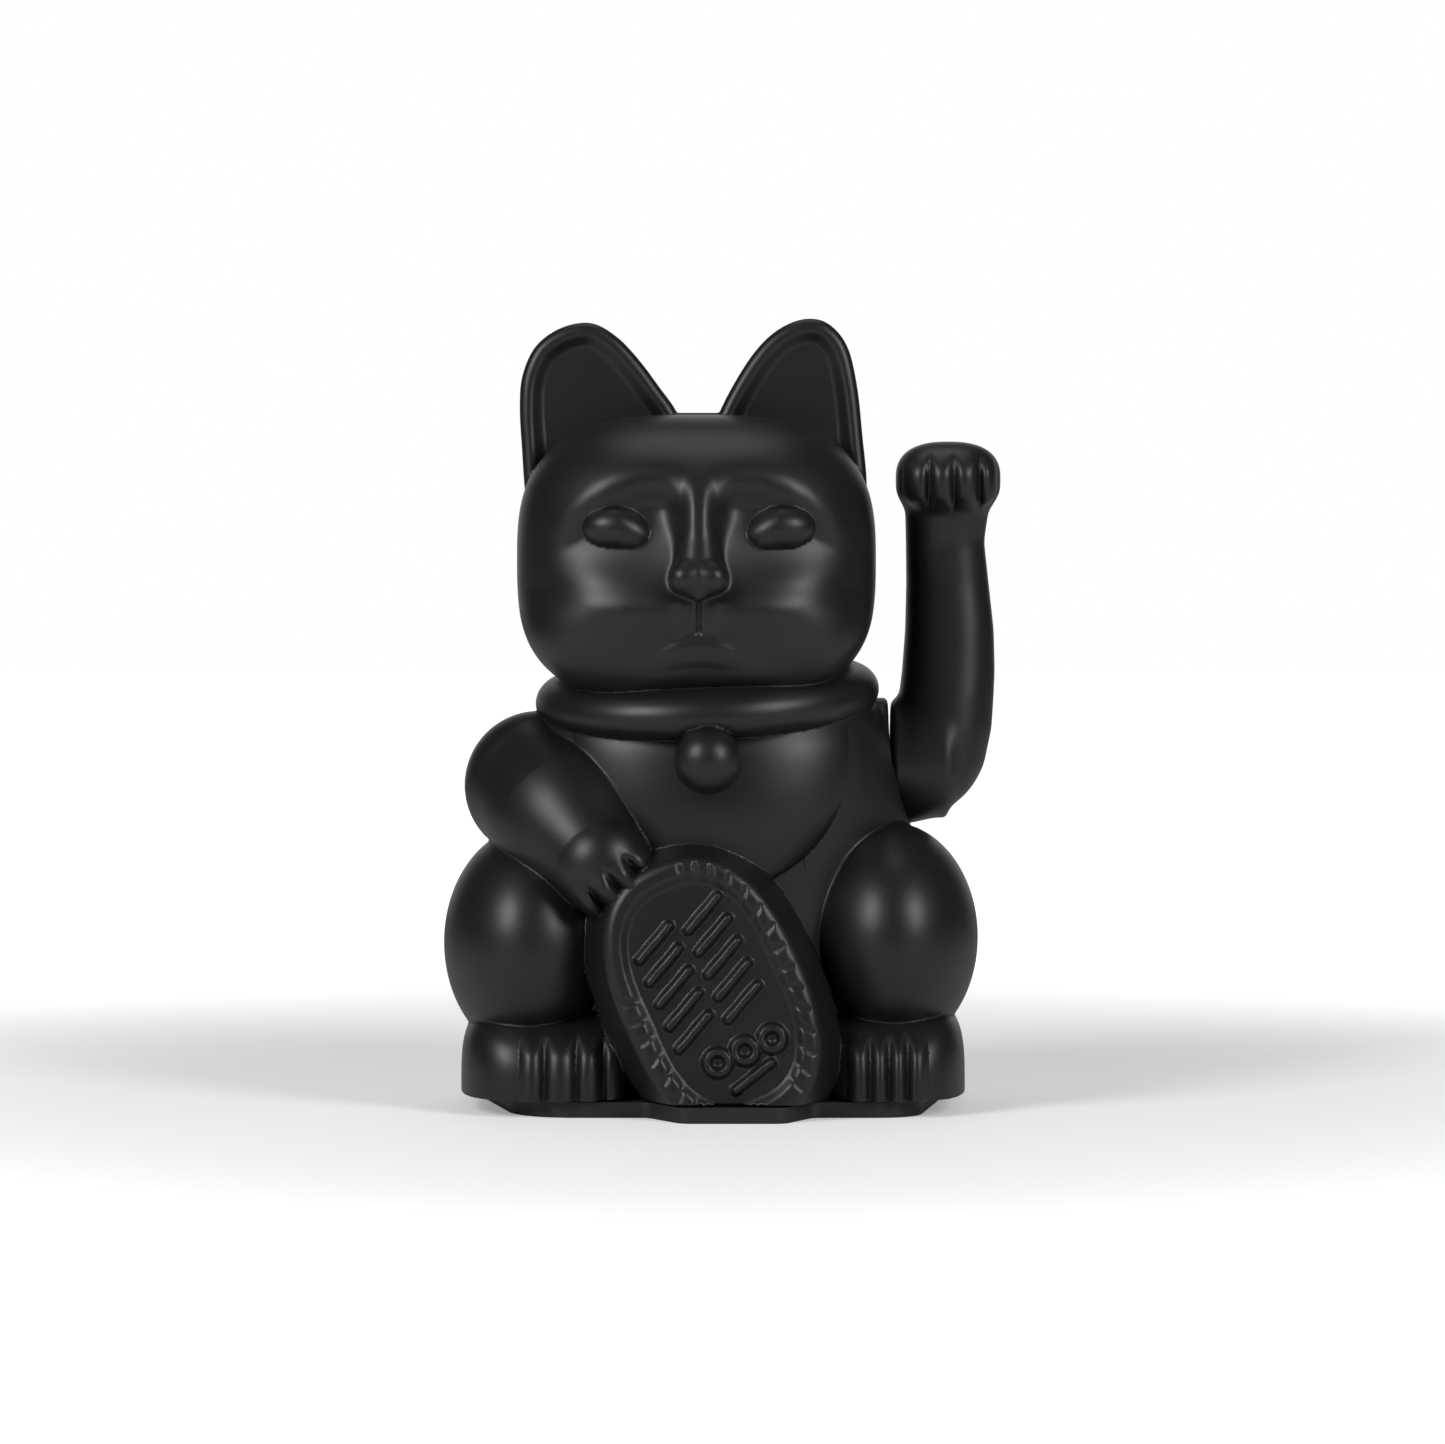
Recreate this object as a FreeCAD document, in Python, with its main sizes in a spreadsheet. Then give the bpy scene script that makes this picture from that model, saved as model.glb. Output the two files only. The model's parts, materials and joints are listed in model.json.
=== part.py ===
"""A beckoning cat figurine, 150 mm tall: two glued plastic shells on a base plate, and a hollow arm that a
battery, a coil and a magnet keep waving.

Frame: +Z up, the cat faces -Y, its waving arm is on +X. The origin is on the face that it rests on, under the
middle of the body. Every size in the document hangs on the spreadsheet "sizes".
"""

import FreeCAD, Part
import math
import os
import re
import Sketcher

Vector = FreeCAD.Vector
Rotation = FreeCAD.Rotation
Placement = FreeCAD.Placement

doc = FreeCAD.newDocument("beckoning_cat")
sheet = doc.addObject("Spreadsheet::Sheet", "sizes")
SIZES = {}
NODES = []


# ---------------------------------------------------------------- driving dimensions

def sizes(title, **values):
    """Adds one row per value to the spreadsheet, each with its name as the alias."""
    row = len(SIZES) + 1
    sheet.set(f"C{row}", title)
    for name, value in values.items():
        sheet.set(f"A{row}", name)
        sheet.set(f"B{row}", str(value))
        sheet.setAlias(f"B{row}", name)
        SIZES[name] = value
        row += 1


sizes("shells", wall=2.0, seam_y=5.0, shell_foot_z=3.1, far=200.0)
sizes("arm pivot and recess", pivot_y=5.0, pivot_z=65.0, recess_x=34.0, recess_r=13.0, recess_wall=2.2,
      shoulder_pad_r=12.0, shoulder_pad_x=28.5, axle_hole_r=2.3, hub_gap=0.5, hub_r=8.0)
sizes("haunches", haunch_x=33.0, haunch_y=-8.0, haunch_z=31.0, haunch_rx=17.6, haunch_ry=24.0,
      haunch_rz=21.5)
sizes("feet", left_foot_inner_x=-13.0, left_foot_front_x=-38.5, left_foot_back_x=-47.6,
      right_foot_inner_x=21.0, right_foot_front_x=41.0, right_foot_back_x=48.2,
      foot_front_y=-31.6, foot_back_y=17.0, foot_top_z=19.6, foot_round=6.0)
sizes("resting arm", shoulder_x=-32.0, shoulder_y=-4.0, shoulder_z=59.0, shoulder_r=14.6,
      paw_x=-18.5, paw_y=-29.5, paw_z=41.0, paw_r=9.2)
sizes("coin", coin_x=1.0, coin_y=-37.4, coin_z=24.0, coin_long=29.5, coin_short=19.6, coin_thick=9.0,
      coin_turn=24.0, coin_lean=-6.0)
sizes("collar and bell", collar_x=-0.8, collar_y=-0.5, collar_z=77.0, collar_ring=26.6, collar_r=5.2,
      collar_tilt=9.0, bell_x=-0.6, bell_y=-33.0, bell_z=66.2, bell_r=6.2)
sizes("base plate", base_thick=2.9, base_side_x=46.2, base_side_y=13.0, base_quarter_x=38.8,
      base_quarter_y=27.5, base_tail_x=25.0, base_tail_y=38.4, base_back_x=11.0, base_back_y=42.2,
      base_front_left=-35.5, base_front_right=38.3, base_front_y=-32.0, base_left_round=13.0,
      base_right_round=8.0, base_back_round=22.0, lobe_front_y=-41.8, lobe_left_x=-11.6, lobe_right_x=19.0,
      lobe_left_top=-5.4, lobe_right_top=13.6, lobe_round=3.0)
sizes("battery tray", cell_x=-12.0, cell_z=9.7, cell_r=7.2, cell_length=50.0, cell_front_y=-17.6,
      tray_half=9.3, tray_front_y=-23.5, tray_back_y=34.4, tray_top_z=18.6, tray_wall=1.2)
sizes("battery door", door_half=9.4, door_lip=1.0, door_lip_z=0.8, door_top_z=1.6, door_gap=0.2,
      door_front_y=-24.8, door_rise=0.15, grip_pitch=2.4, grip_depth=0.35, door_end_x=48.0, door_end_y=36.6)
sizes("drive bracket", bracket_left_x=2.0, bracket_right_x=36.0, bracket_front_y=-9.0, bracket_back_y=17.0,
      bracket_z=5.0, bracket_thick=2.0, cheek_left_x=9.0, cheek_right_x=26.5, cheek_thick=2.0,
      cheek_half=6.0, cheek_over=4.0)
sizes("axle", axle_r=1.5, axle_left_x=7.6, axle_right_x=44.0, running_gap=0.05, clip_r=3.0, clip_thick=0.6)
sizes("swing lever", lever_x=18.75, lever_thick=3.6, hub_left_x=11.7, hub_right_x=25.8, lever_hub_r=4.0,
      lever_half=3.0, cup_r=6.5, cup_low_z=22.5, cup_high_z=28.5, weight_y=5.5, weight_z=37.5, weight_r=5.0,
      weight_half=6.6, weight_ring_r=6.8, magnet_r=5.0, magnet_thick=4.0)
sizes("coil", coil_low_z=7.0, coil_high_z=19.5, coil_flange=1.0, coil_flange_r=7.4, coil_core_r=3.2,
      coil_bore_r=1.5, coil_outer_r=6.8)
sizes("circuit board", board_thick=1.6, board_half=9.0, board_low_z=22.0, board_high_z=46.0,
      capacitor_r=2.5, capacitor_long=6.8, resistor_r=0.9, resistor_long=5.6, transistor_wide=4.6)
sizes("power switch", switch_x=22.5, switch_y=-20.0, switch_long=9.0, switch_wide=4.0, switch_high=3.6,
      switch_knob=2.0, switch_travel=2.0, switch_window=0.3)
sizes("screws", screw_r=1.1, screw_head_r=2.2, screw_head_high=1.2, base_screw_long=8.0,
      bracket_screw_long=4.2, board_screw_r=0.8, board_screw_head_r=1.6, board_screw_head_high=0.9,
      board_screw_long=3.0, hole_gap=0.2, boss_r=3.2, boss_top_z=13.0,
      boss_front_x=33.0, boss_front_y=-20.5, boss_back_x=31.0, boss_back_y=21.5)
sizes("contact spring", spring_wire_r=0.35, spring_large_r=4.4, spring_small_r=2.2, spring_turns=3.0)
sizes("leads", lead_r=0.6)
sizes("arm shell", arm_wall=1.3, arm_boss_r=3.4)

# Sections of each lofted form, lowest first: height, centre x, half width, centre y, half depth.
FORMS = {
    "torso": [(3.1, 0.4, 43.6, 5, 36.6), (12, 0.4, 44.2, 5, 36.8), (26, 0.2, 41.5, 5.2, 36.6),
              (42, 0, 36.4, 4.6, 35.6), (56, 0, 34.8, 3.2, 34.0), (67, -0.5, 33.6, 1.2, 31.2),
              (76, -1, 30.6, -0.6, 28.4)],
    "head": [(75.5, -2.6, 23, -3.4, 22), (80, -2.6, 28.6, -3.4, 27), (88, -2.7, 32.6, -3.4, 30.4),
             (102, -2.75, 34.1, -3.2, 31.6), (114, -2.75, 33.2, -3, 30.4), (122, -2.7, 30, -2.4, 26.6),
             (128, -2.4, 24, -1.6, 20), (132.2, -2.2, 15, -1, 12)],
    "left_ear": [(112, -21, 14.5, 4.5, 5.4), (124, -20.6, 15.4, 4.6, 5.2), (132, -21.8, 14.8, 4.8, 4.8),
                 (139, -23.2, 12.8, 5, 4.2), (145, -24.2, 9.3, 5.2, 3.5), (149.2, -24.5, 3.6, 5.4, 1.8)],
    "right_ear": [(112, 15.2, 13.6, 4.5, 5.4), (124, 14.6, 14.6, 4.6, 5.2), (132, 15.2, 13.4, 4.8, 4.8),
                  (139, 16.4, 11.4, 5, 4.2), (145.4, 18.2, 8.2, 5.2, 3.5), (149.8, 18.8, 3.4, 5.4, 1.8)],
    "arm": [(54.2, 42.2, 5.2, 5, 6), (57, 43, 7.4, 5, 8.6), (62, 44.2, 8.5, 5, 10), (70, 45.2, 8.8, 5, 9.8),
            (82, 45.6, 9.0, 5, 8.8), (96, 45.6, 8.1, 5, 7.6), (107, 45.1, 7.5, 4.6, 7.0),
            (113, 45.1, 8.0, 2.6, 8.0), (119.5, 45.4, 9.4, 1.4, 9.4), (123.5, 45.4, 8.3, 1.2, 8.2),
            (125.9, 45.4, 5, 1.6, 5)],
}
for form, sections in FORMS.items():
    for i, section in enumerate(sections):
        names = [f"{form}_{part}_{i}" for part in ("level", "mid_x", "half_x", "mid_y", "half_y")]
        sizes(f"{form}, section {i}", **dict(zip(names, section)))
doc.recompute()


# ---------------------------------------------------------------- small builders

def bound(text):
    """An expression on the spreadsheet, from one that uses the plain names of its values."""
    return re.sub(r"[a-z_][a-z_0-9]*", lambda m: "sizes." + m[0] if m[0] in SIZES else m[0], str(text))


def number(text):
    """The value of such an expression now."""
    found = sheet.evalExpression(bound(text))
    return float(getattr(found, "Value", found))


def add(kind, name, at=None, **bindings):
    """A document object with its properties, and the base point of its placement, bound to the sheet."""
    made = doc.addObject(kind, name)
    for prop, text in bindings.items():
        made.setExpression(prop, bound(text))
    if at:
        for axis, text in zip("xyz", at):
            made.setExpression(f"Placement.Base.{axis}", bound(text))
    return made


def turned(made, axis, degrees):
    made.Placement = Placement(made.Placement.Base, Rotation(axis, degrees))
    return made


def box(name, x, y, z):
    """A box from three (low, high) pairs."""
    return add("Part::Box", name, (x[0], y[0], z[0]), Length=f"({x[1]}) - ({x[0]})",
               Width=f"({y[1]}) - ({y[0]})", Height=f"({z[1]}) - ({z[0]})")


def rod(name, at, radius, height, axis="z"):
    """A cylinder that starts at a point and runs along +X, +Y or +Z."""
    made = add("Part::Cylinder", name, at, Radius=radius, Height=height)
    if axis == "x":
        turned(made, Vector(0, 1, 0), 90)
    if axis == "y":
        turned(made, Vector(1, 0, 0), -90)
    return made


def fuse(name, *shapes):
    made = doc.addObject("Part::MultiFuse", name)
    made.Shapes = list(shapes)
    return made


def cut(name, base, *tools):
    made = doc.addObject("Part::Cut", name)
    made.Base = base
    made.Tool = tools[0] if len(tools) == 1 else fuse(name + "_tools", *tools)
    return made


def common(name, first, second):
    made = doc.addObject("Part::Common", name)
    made.Base, made.Tool = first, second
    return made


def group(name, *shapes):
    made = doc.addObject("Part::Compound", name)
    made.Links = list(shapes)
    return made


def node(made, label):
    """Marks a finished object as one sub-part."""
    made.Label = label
    NODES.append(made)
    return made


def loft(name, form, inset="0"):
    """A smooth solid through a form's elliptical sections, each drawn in by the inset."""
    rings = []
    for i in range(len(FORMS[form])):
        half_x, half_y = f"{form}_half_x_{i} - {inset}", f"{form}_half_y_{i} - {inset}"
        wide = number(half_x) >= number(half_y)
        ring = add("Part::Ellipse", f"{name}_ring_{i}",
                   (f"{form}_mid_x_{i}", f"{form}_mid_y_{i}", level(form, i, inset)),
                   MajorRadius=half_x if wide else half_y, MinorRadius=half_y if wide else half_x)
        if not wide:
            turned(ring, Vector(0, 0, 1), 90)
        rings.append(ring)
    made = doc.addObject("Part::Loft", name)
    made.Sections, made.Solid, made.Ruled = rings, True, False
    return made


def level(form, i, inset):
    """A section's height. An inset form's end sections move in as well, but the torso is open below."""
    last = len(FORMS[form]) - 1
    sign = {0: " - " if form == "torso" else " + ", last: " - "}.get(i)
    return f"{form}_level_{i}" + (f"{sign}{inset}" if sign else "")


def ellipsoid(name, at, rx, ry, rz):
    return add("Part::Ellipsoid", name, at, Radius1=rz, Radius2=rx, Radius3=ry)


def plane_of(body, role):
    return next(f for f in body.Origin.OriginFeatures if f.Role == role)


def polygon(body, name, role, points, lift="0"):
    """A closed polygon sketch on one of the body's origin planes, each corner bound to the sheet."""
    sketch = body.newObject("Sketcher::SketchObject", name)
    sketch.AttachmentSupport = (plane_of(body, role), [""])
    sketch.MapMode = "FlatFace"
    sketch.setExpression("AttachmentOffset.Base.z", bound(lift))
    corners = [Vector(number(u), number(v), 0) for u, v in points]
    for i, corner in enumerate(corners):
        sketch.addGeometry(Part.LineSegment(corner, corners[(i + 1) % len(corners)]), False)
    for i in range(len(corners)):
        sketch.addConstraint(Sketcher.Constraint("Coincident", i, 2, (i + 1) % len(corners), 1))
    for i, (u, v) in enumerate(points):
        for kind, text, value in (("DistanceX", u, corners[i].x), ("DistanceY", v, corners[i].y)):
            at = sketch.addConstraint(Sketcher.Constraint(kind, -1, 1, i, 1, value))
            sketch.setExpression(f"Constraints[{at}]", bound(text))
    return sketch


def circles(body, name, role, spots, radius, lift="0"):
    """A sketch of equal circles, each centre and radius bound to the sheet."""
    sketch = body.newObject("Sketcher::SketchObject", name)
    sketch.AttachmentSupport = (plane_of(body, role), [""])
    sketch.MapMode = "FlatFace"
    sketch.setExpression("AttachmentOffset.Base.z", bound(lift))
    for i, (u, v) in enumerate(spots):
        centre = Vector(number(u), number(v), 0)
        sketch.addGeometry(Part.Circle(centre, Vector(0, 0, 1), number(radius)), False)
        for kind, text, value in (("DistanceX", u, centre.x), ("DistanceY", v, centre.y)):
            at = sketch.addConstraint(Sketcher.Constraint(kind, -1, 1, i, 3, value))
            sketch.setExpression(f"Constraints[{at}]", bound(text))
        at = sketch.addConstraint(Sketcher.Constraint("Radius", i, number(radius)))
        sketch.setExpression(f"Constraints[{at}]", bound(radius))
    return sketch


def rectangle(x, y):
    """The four corners of a rectangle from two (low, high) pairs."""
    return [(x[0], y[0]), (x[1], y[0]), (x[1], y[1]), (x[0], y[1])]


def step(body, kind, name, profile, length, flipped=False):
    """A Pad or Pocket of a sketch, checked against the body's volume before it."""
    before = body.Shape.Volume if body.Tip else 0
    made = body.newObject("PartDesign::" + kind, name)
    made.Profile = profile
    made.setExpression("Length", bound(length))
    made.Reversed = flipped
    doc.recompute()
    grew = body.Shape.Volume - before
    if (kind == "Pad") != (grew > 0) or abs(grew) < 1e-3:
        raise ValueError(f"{name} changed the volume by {grew:.3f} mm3")
    return made


def rounded(body, name, radius, wanted):
    """A fillet of the edges of the body's tip that a test picks."""
    tip = body.Tip
    picked = [f"Edge{i + 1}" for i, edge in enumerate(tip.Shape.Edges) if wanted(edge)]
    made = body.newObject("PartDesign::Fillet", name)
    made.Base = (tip, picked)
    made.setExpression("Radius", bound(radius))
    doc.recompute()
    return made


def upright_at(spots, slack=0.5):
    """A test for vertical edges that stand at one of these places."""
    def wanted(edge):
        box_ = edge.BoundBox
        if box_.XLength > slack or box_.YLength > slack:
            return False
        middle = box_.Center
        return any(abs(middle.x - x) < slack and abs(middle.y - y) < slack for x, y in spots)
    return wanted


def halves(name):
    """Two boxes that meet at the seam plane: all that is ahead of it, and all that is behind it."""
    return (box(name + "_ahead", ("-far", "far"), ("-far", "seam_y"), ("-far", "far")),
            box(name + "_behind", ("-far", "far"), ("seam_y", "far"), ("-far", "far")))


# ---------------------------------------------------------------- body shells

SCREW_SPOTS = [("-", "front"), ("", "front"), ("-", "back"), ("", "back")]


def haunch(name, sign, inset="0"):
    return ellipsoid(name, (f"{sign}haunch_x", "haunch_y", "haunch_z"), f"haunch_rx - {inset}",
                     f"haunch_ry - {inset}", f"haunch_rz - {inset}")


def foot(name, side, inset="0"):
    """A foot as a wedge, narrower at the toes. It is rounded everywhere but underneath, where it is open."""
    floor = "shell_foot_z" if inset == "0" else "shell_foot_z - 5"
    block = add("Part::Wedge", name + "_block", Ymin=f"foot_front_y + {inset}", Ymax=f"foot_back_y - {inset}",
                Zmin=floor, Zmax=f"foot_top_z - {inset}", Z2min=floor, Z2max=f"foot_top_z - {inset}")
    for low, high, end in (("Xmin", "Xmax", "front"), ("X2min", "X2max", "back")):
        across = sorted((f"{side}_foot_inner_x", f"{side}_foot_{end}_x"), key=number)
        block.setExpression(low, bound(f"{across[0]} + {inset}"))
        block.setExpression(high, bound(f"{across[1]} - {inset}"))
    doc.recompute()
    radius = number(f"foot_round - {inset}")
    made = doc.addObject("Part::Fillet", name)
    made.Base = block
    made.Edges = [(i + 1, radius, radius) for i, edge in enumerate(block.Shape.Edges)
                  if edge.BoundBox.ZMax > number(floor) + 0.1]
    return made


def resting_arm(name, inset="0"):
    """The arm that lies on the coin: a ball at the shoulder, a ball at the paw and the cone between them."""
    ends = [Vector(*(number(f"{end}_{axis}") for axis in "xyz")) for end in ("shoulder", "paw")]
    radii = [f"shoulder_r - {inset}", f"paw_r - {inset}"]
    balls = [add("Part::Sphere", f"{name}_{end}", tuple(f"{end}_{axis}" for axis in "xyz"), Radius=radius)
             for end, radius in zip(("shoulder", "paw"), radii)]
    along = ends[1] - ends[0]
    cone = add("Part::Cone", name + "_cone", Radius1=radii[0], Radius2=radii[1])
    cone.Height = along.Length
    cone.Placement = Placement(ends[0], Rotation(Vector(0, 0, 1), along))
    return fuse(name, *balls, cone)


def coin(name, inset="0", depth="coin_thick"):
    """The oval coin that stands on the base plate and leans on the belly."""
    oval = add("Part::Ellipse", name + "_oval", MajorRadius=f"coin_long - {inset}",
               MinorRadius=f"coin_short - {inset}")
    turned(oval, Vector(0, 0, 1), 90)
    disc = add("Part::Extrusion", name, LengthFwd=depth)
    disc.Base, disc.Dir, disc.DirMode, disc.Solid = oval, Vector(0, 0, -1), "Custom", True
    upright = Rotation(Vector(1, 0, 0), 90)
    tilt = Rotation(Vector(1, 0, 0), SIZES["coin_lean"])
    roll = Rotation(Vector(0, 1, 0), -SIZES["coin_turn"])
    disc.Placement = Placement(Vector(), tilt * roll * upright)
    for axis, text in zip("xyz", ("coin_x", f"coin_y + {inset}", "coin_z")):
        disc.setExpression(f"Placement.Base.{axis}", bound(text))
    return disc


def boss(name, sign, end):
    """A screw pillar with a rib that ties it to the shell wall in front of it or behind it."""
    x, y = f"{sign}boss_{end}_x", f"boss_{end}_y"
    reach = {"front": (f"{y} - 12", y), "back": (y, f"{y} + 10")}[end]
    pillar = rod(name + "_pillar", (x, y, "shell_foot_z"), "boss_r", "boss_top_z - shell_foot_z")
    rib = box(name + "_rib", (f"({x}) - 0.7", f"({x}) + 0.7"), reach, ("shell_foot_z", "boss_top_z"))
    return fuse(name, pillar, rib)


def outer_form():
    """Everything that shows from outside, as one solid."""
    ring = add("Part::Torus", "collar", ("collar_x", "collar_y", "collar_z"), Radius1="collar_ring",
               Radius2="collar_r")
    return fuse("outer_form", loft("torso", "torso"), loft("head", "head"), loft("left_ear", "left_ear"),
                loft("right_ear", "right_ear"), haunch("left_haunch", "-"), haunch("right_haunch", ""),
                foot("left_foot", "left"), foot("right_foot", "right"), resting_arm("resting_arm"),
                coin("coin"),
                add("Part::Sphere", "bell", ("bell_x", "bell_y", "bell_z"), Radius="bell_r"),
                turned(ring, Vector(1, 0, 0), SIZES["collar_tilt"]),
                rod("shoulder_pad", ("shoulder_pad_x", "pivot_y", "pivot_z"), "shoulder_pad_r",
                    "recess_x - shoulder_pad_x", "x"))


def hollow_form():
    """The room inside the shells."""
    return fuse("hollow_form", loft("torso_hollow", "torso", "wall"), loft("head_hollow", "head", "wall"),
                haunch("left_haunch_hollow", "-", "wall"), haunch("right_haunch_hollow", "", "wall"),
                foot("left_foot_hollow", "left", "wall"), foot("right_foot_hollow", "right", "wall"),
                resting_arm("resting_arm_hollow", "wall + 0.6"),
                coin("coin_hollow", "wall", "coin_thick + 3"),
                rod("neck_passage", ("collar_x", "collar_y", "collar_z - 8"), "collar_ring - 6", "16"))


def shells():
    """The front and rear shells: one hollow form, cut apart at the seam."""
    outer = outer_form()
    pillars = fuse("pillars", *(boss(f"boss_{i}", sign, end) for i, (sign, end) in enumerate(SCREW_SPOTS)))
    filled = fuse("filled_form", cut("opened_form", outer, hollow_form()),
                  common("pillars_inside", pillars, outer))
    pilots = [rod(f"pilot_{i}", (f"{sign}boss_{end}_x", f"boss_{end}_y", "shell_foot_z"), "screw_r",
                  "boss_top_z - shell_foot_z - 2")
              for i, (sign, end) in enumerate(SCREW_SPOTS)]
    whole = cut("whole_shell", filled,
                rod("recess", ("recess_x", "pivot_y", "pivot_z"), "recess_r", "20", "x"),
                rod("recess_back", ("recess_x - 14", "pivot_y", "pivot_z"), "shoulder_pad_r - recess_wall",
                    "14 - recess_wall", "x"),
                rod("axle_hole", ("recess_x - 5", "pivot_y", "pivot_z"), "axle_hole_r", "10", "x"),
                box("below_shell", ("-far", "far"), ("-far", "far"), ("-far", "shell_foot_z")), *pilots)
    ahead, behind = halves("shell")
    node(common("front_half", whole, ahead), "front_shell")
    node(common("rear_half", whole, behind), "rear_shell")


# ---------------------------------------------------------------- waving arm

def waving_arm():
    """The hollow arm in two glued halves, with the boss that grips the flat end of the axle."""
    hub = rod("arm_hub", ("recess_x + hub_gap", "pivot_y", "pivot_z"), "hub_r", "8", "x")
    outer = fuse("arm_outer", loft("arm_form", "arm"), hub)
    hollow = loft("arm_hollow", "arm", "arm_wall")
    boss_in_arm = rod("arm_boss", ("recess_x + hub_gap", "pivot_y", "pivot_z"), "arm_boss_r",
                      "axle_right_x + 3 - recess_x", "x")
    solid = fuse("arm_solid", cut("arm_opened", outer, hollow), boss_in_arm)
    bored = cut("arm_bored", solid, axle("arm_bore"))
    ahead, behind = halves("arm")
    node(common("arm_front", bored, ahead), "arm_front_half")
    node(common("arm_rear", bored, behind), "arm_rear_half")


def axle(name):
    """The steel axle: a round pin with a flat milled on the end that the arm grips."""
    pin = rod(name + "_pin", ("axle_left_x", "pivot_y", "pivot_z"), "axle_r",
              "axle_right_x - axle_left_x", "x")
    flat = box(name + "_flat", ("recess_x + hub_gap", "axle_right_x + 1"),
               ("pivot_y - axle_r", "pivot_y + axle_r"), ("pivot_z + axle_r * 0.65", "pivot_z + axle_r * 2"))
    return cut(name, pin, flat)


def swinging_parts():
    node(axle("axle_pin"), "axle")
    ring = rod("clip_ring", ("axle_left_x + 0.3", "pivot_y", "pivot_z"), "clip_r", "clip_thick", "x")
    hole = rod("clip_hole", ("axle_left_x", "pivot_y", "pivot_z"), "axle_r", "3", "x")
    mouth = box("clip_mouth", ("axle_left_x", "axle_left_x + 3"), ("pivot_y - 0.8", "pivot_y + 0.8"),
                ("pivot_z - clip_r * 2", "pivot_z"))
    node(cut("clip", ring, hole, mouth), "axle_clip")

    hub = rod("lever_hub", ("hub_left_x", "pivot_y", "pivot_z"), "lever_hub_r",
              "hub_right_x - hub_left_x", "x")
    face = ("lever_x - lever_thick / 2", "lever_x + lever_thick / 2")
    web = box("lever_web", face, ("pivot_y - lever_half", "pivot_y + lever_half"),
              ("cup_high_z - 1", "pivot_z"))
    ring = rod("weight_ring", (face[0], "weight_y", "weight_z"), "weight_ring_r", "lever_thick", "x")
    cup = rod("magnet_cup", ("lever_x", "pivot_y", "cup_low_z"), "cup_r", "cup_high_z - cup_low_z")
    solid = fuse("lever_solid", hub, web, ring, cup)
    node(cut("lever", solid,
             rod("lever_bore", ("hub_left_x - 1", "pivot_y", "pivot_z"), "axle_r",
                 "hub_right_x - hub_left_x + 2", "x"),
             rod("weight_bore", ("lever_x - 10", "weight_y", "weight_z"), "weight_r", "20", "x"),
             rod("cup_bore", ("lever_x", "pivot_y", "cup_low_z - 1"), "magnet_r", "magnet_thick + 1")),
         "swing_lever")
    node(rod("slug", ("lever_x - weight_half", "weight_y", "weight_z"), "weight_r", "weight_half * 2", "x"),
         "counterweight")
    node(rod("disc_magnet", ("lever_x", "pivot_y", "cup_low_z"), "magnet_r", "magnet_thick"), "drive_magnet")


# ---------------------------------------------------------------- drive unit

BRACKET_SPOTS = [(across, along) for along in ("bracket_front_y + 3", "bracket_back_y - 3")
                 for across in ("bracket_left_x + 3", "bracket_right_x - 3")]
BOARD_SPOTS = ["board_low_z + 3", "board_high_z - 3"]


def drive_bracket():
    """A moulded bracket: a flange on four pads, and two cheeks that carry the axle."""
    top = "bracket_z + bracket_thick"
    flange = box("flange", ("bracket_left_x", "bracket_right_x"), ("bracket_front_y", "bracket_back_y"),
                 ("bracket_z", top))
    cheeks, bores = [], []
    for side in ("left", "right"):
        x = f"cheek_{side}_x"
        y = ("pivot_y - cheek_half", "pivot_y + cheek_half")
        plate = box(f"{side}_cheek_plate", (x, f"{x} + cheek_thick"), y, (top, "pivot_z"))
        crown = rod(f"{side}_cheek_crown", (x, "pivot_y", "pivot_z"), "cheek_half", "cheek_thick", "x")
        cheeks += [plate, crown]
        bores.append(rod(f"{side}_bore", (f"{x} - 1", "pivot_y", "pivot_z"), "axle_r + running_gap",
                         "cheek_thick + 2", "x"))
    holes = [rod(f"flange_hole_{i}", (x, y, "bracket_z - 1"), "screw_r + hole_gap", "bracket_thick + 2")
             for i, (x, y) in enumerate(BRACKET_SPOTS)]
    pilots = [rod(f"board_pilot_{i}", ("cheek_left_x", "pivot_y", z), "board_screw_r", "cheek_thick", "x")
              for i, z in enumerate(BOARD_SPOTS)]
    spigot = rod("coil_spigot", ("lever_x", "pivot_y", top), "coil_bore_r", "3")
    solid = fuse("bracket_solid", flange, *cheeks, spigot)
    node(cut("bracket", solid, *bores, *holes, *pilots), "drive_bracket")


def coil():
    at = ("lever_x", "pivot_y")
    low = rod("coil_low_flange", (*at, "coil_low_z"), "coil_flange_r", "coil_flange")
    high = rod("coil_high_flange", (*at, "coil_high_z - coil_flange"), "coil_flange_r", "coil_flange")
    core = rod("coil_core", (*at, "coil_low_z"), "coil_core_r", "coil_high_z - coil_low_z")
    bore = rod("coil_bore", (*at, "coil_low_z - 1"), "coil_bore_r", "coil_high_z - coil_low_z + 2")
    node(cut("spool", fuse("spool_solid", low, high, core), bore), "coil_bobbin")
    copper = rod("copper", (*at, "coil_low_z + coil_flange"), "coil_outer_r",
                 "coil_high_z - coil_low_z - 2 * coil_flange")
    middle = rod("copper_middle", (*at, "coil_low_z"), "coil_core_r", "coil_high_z - coil_low_z")
    node(cut("winding", copper, middle), "coil_winding")


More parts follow.
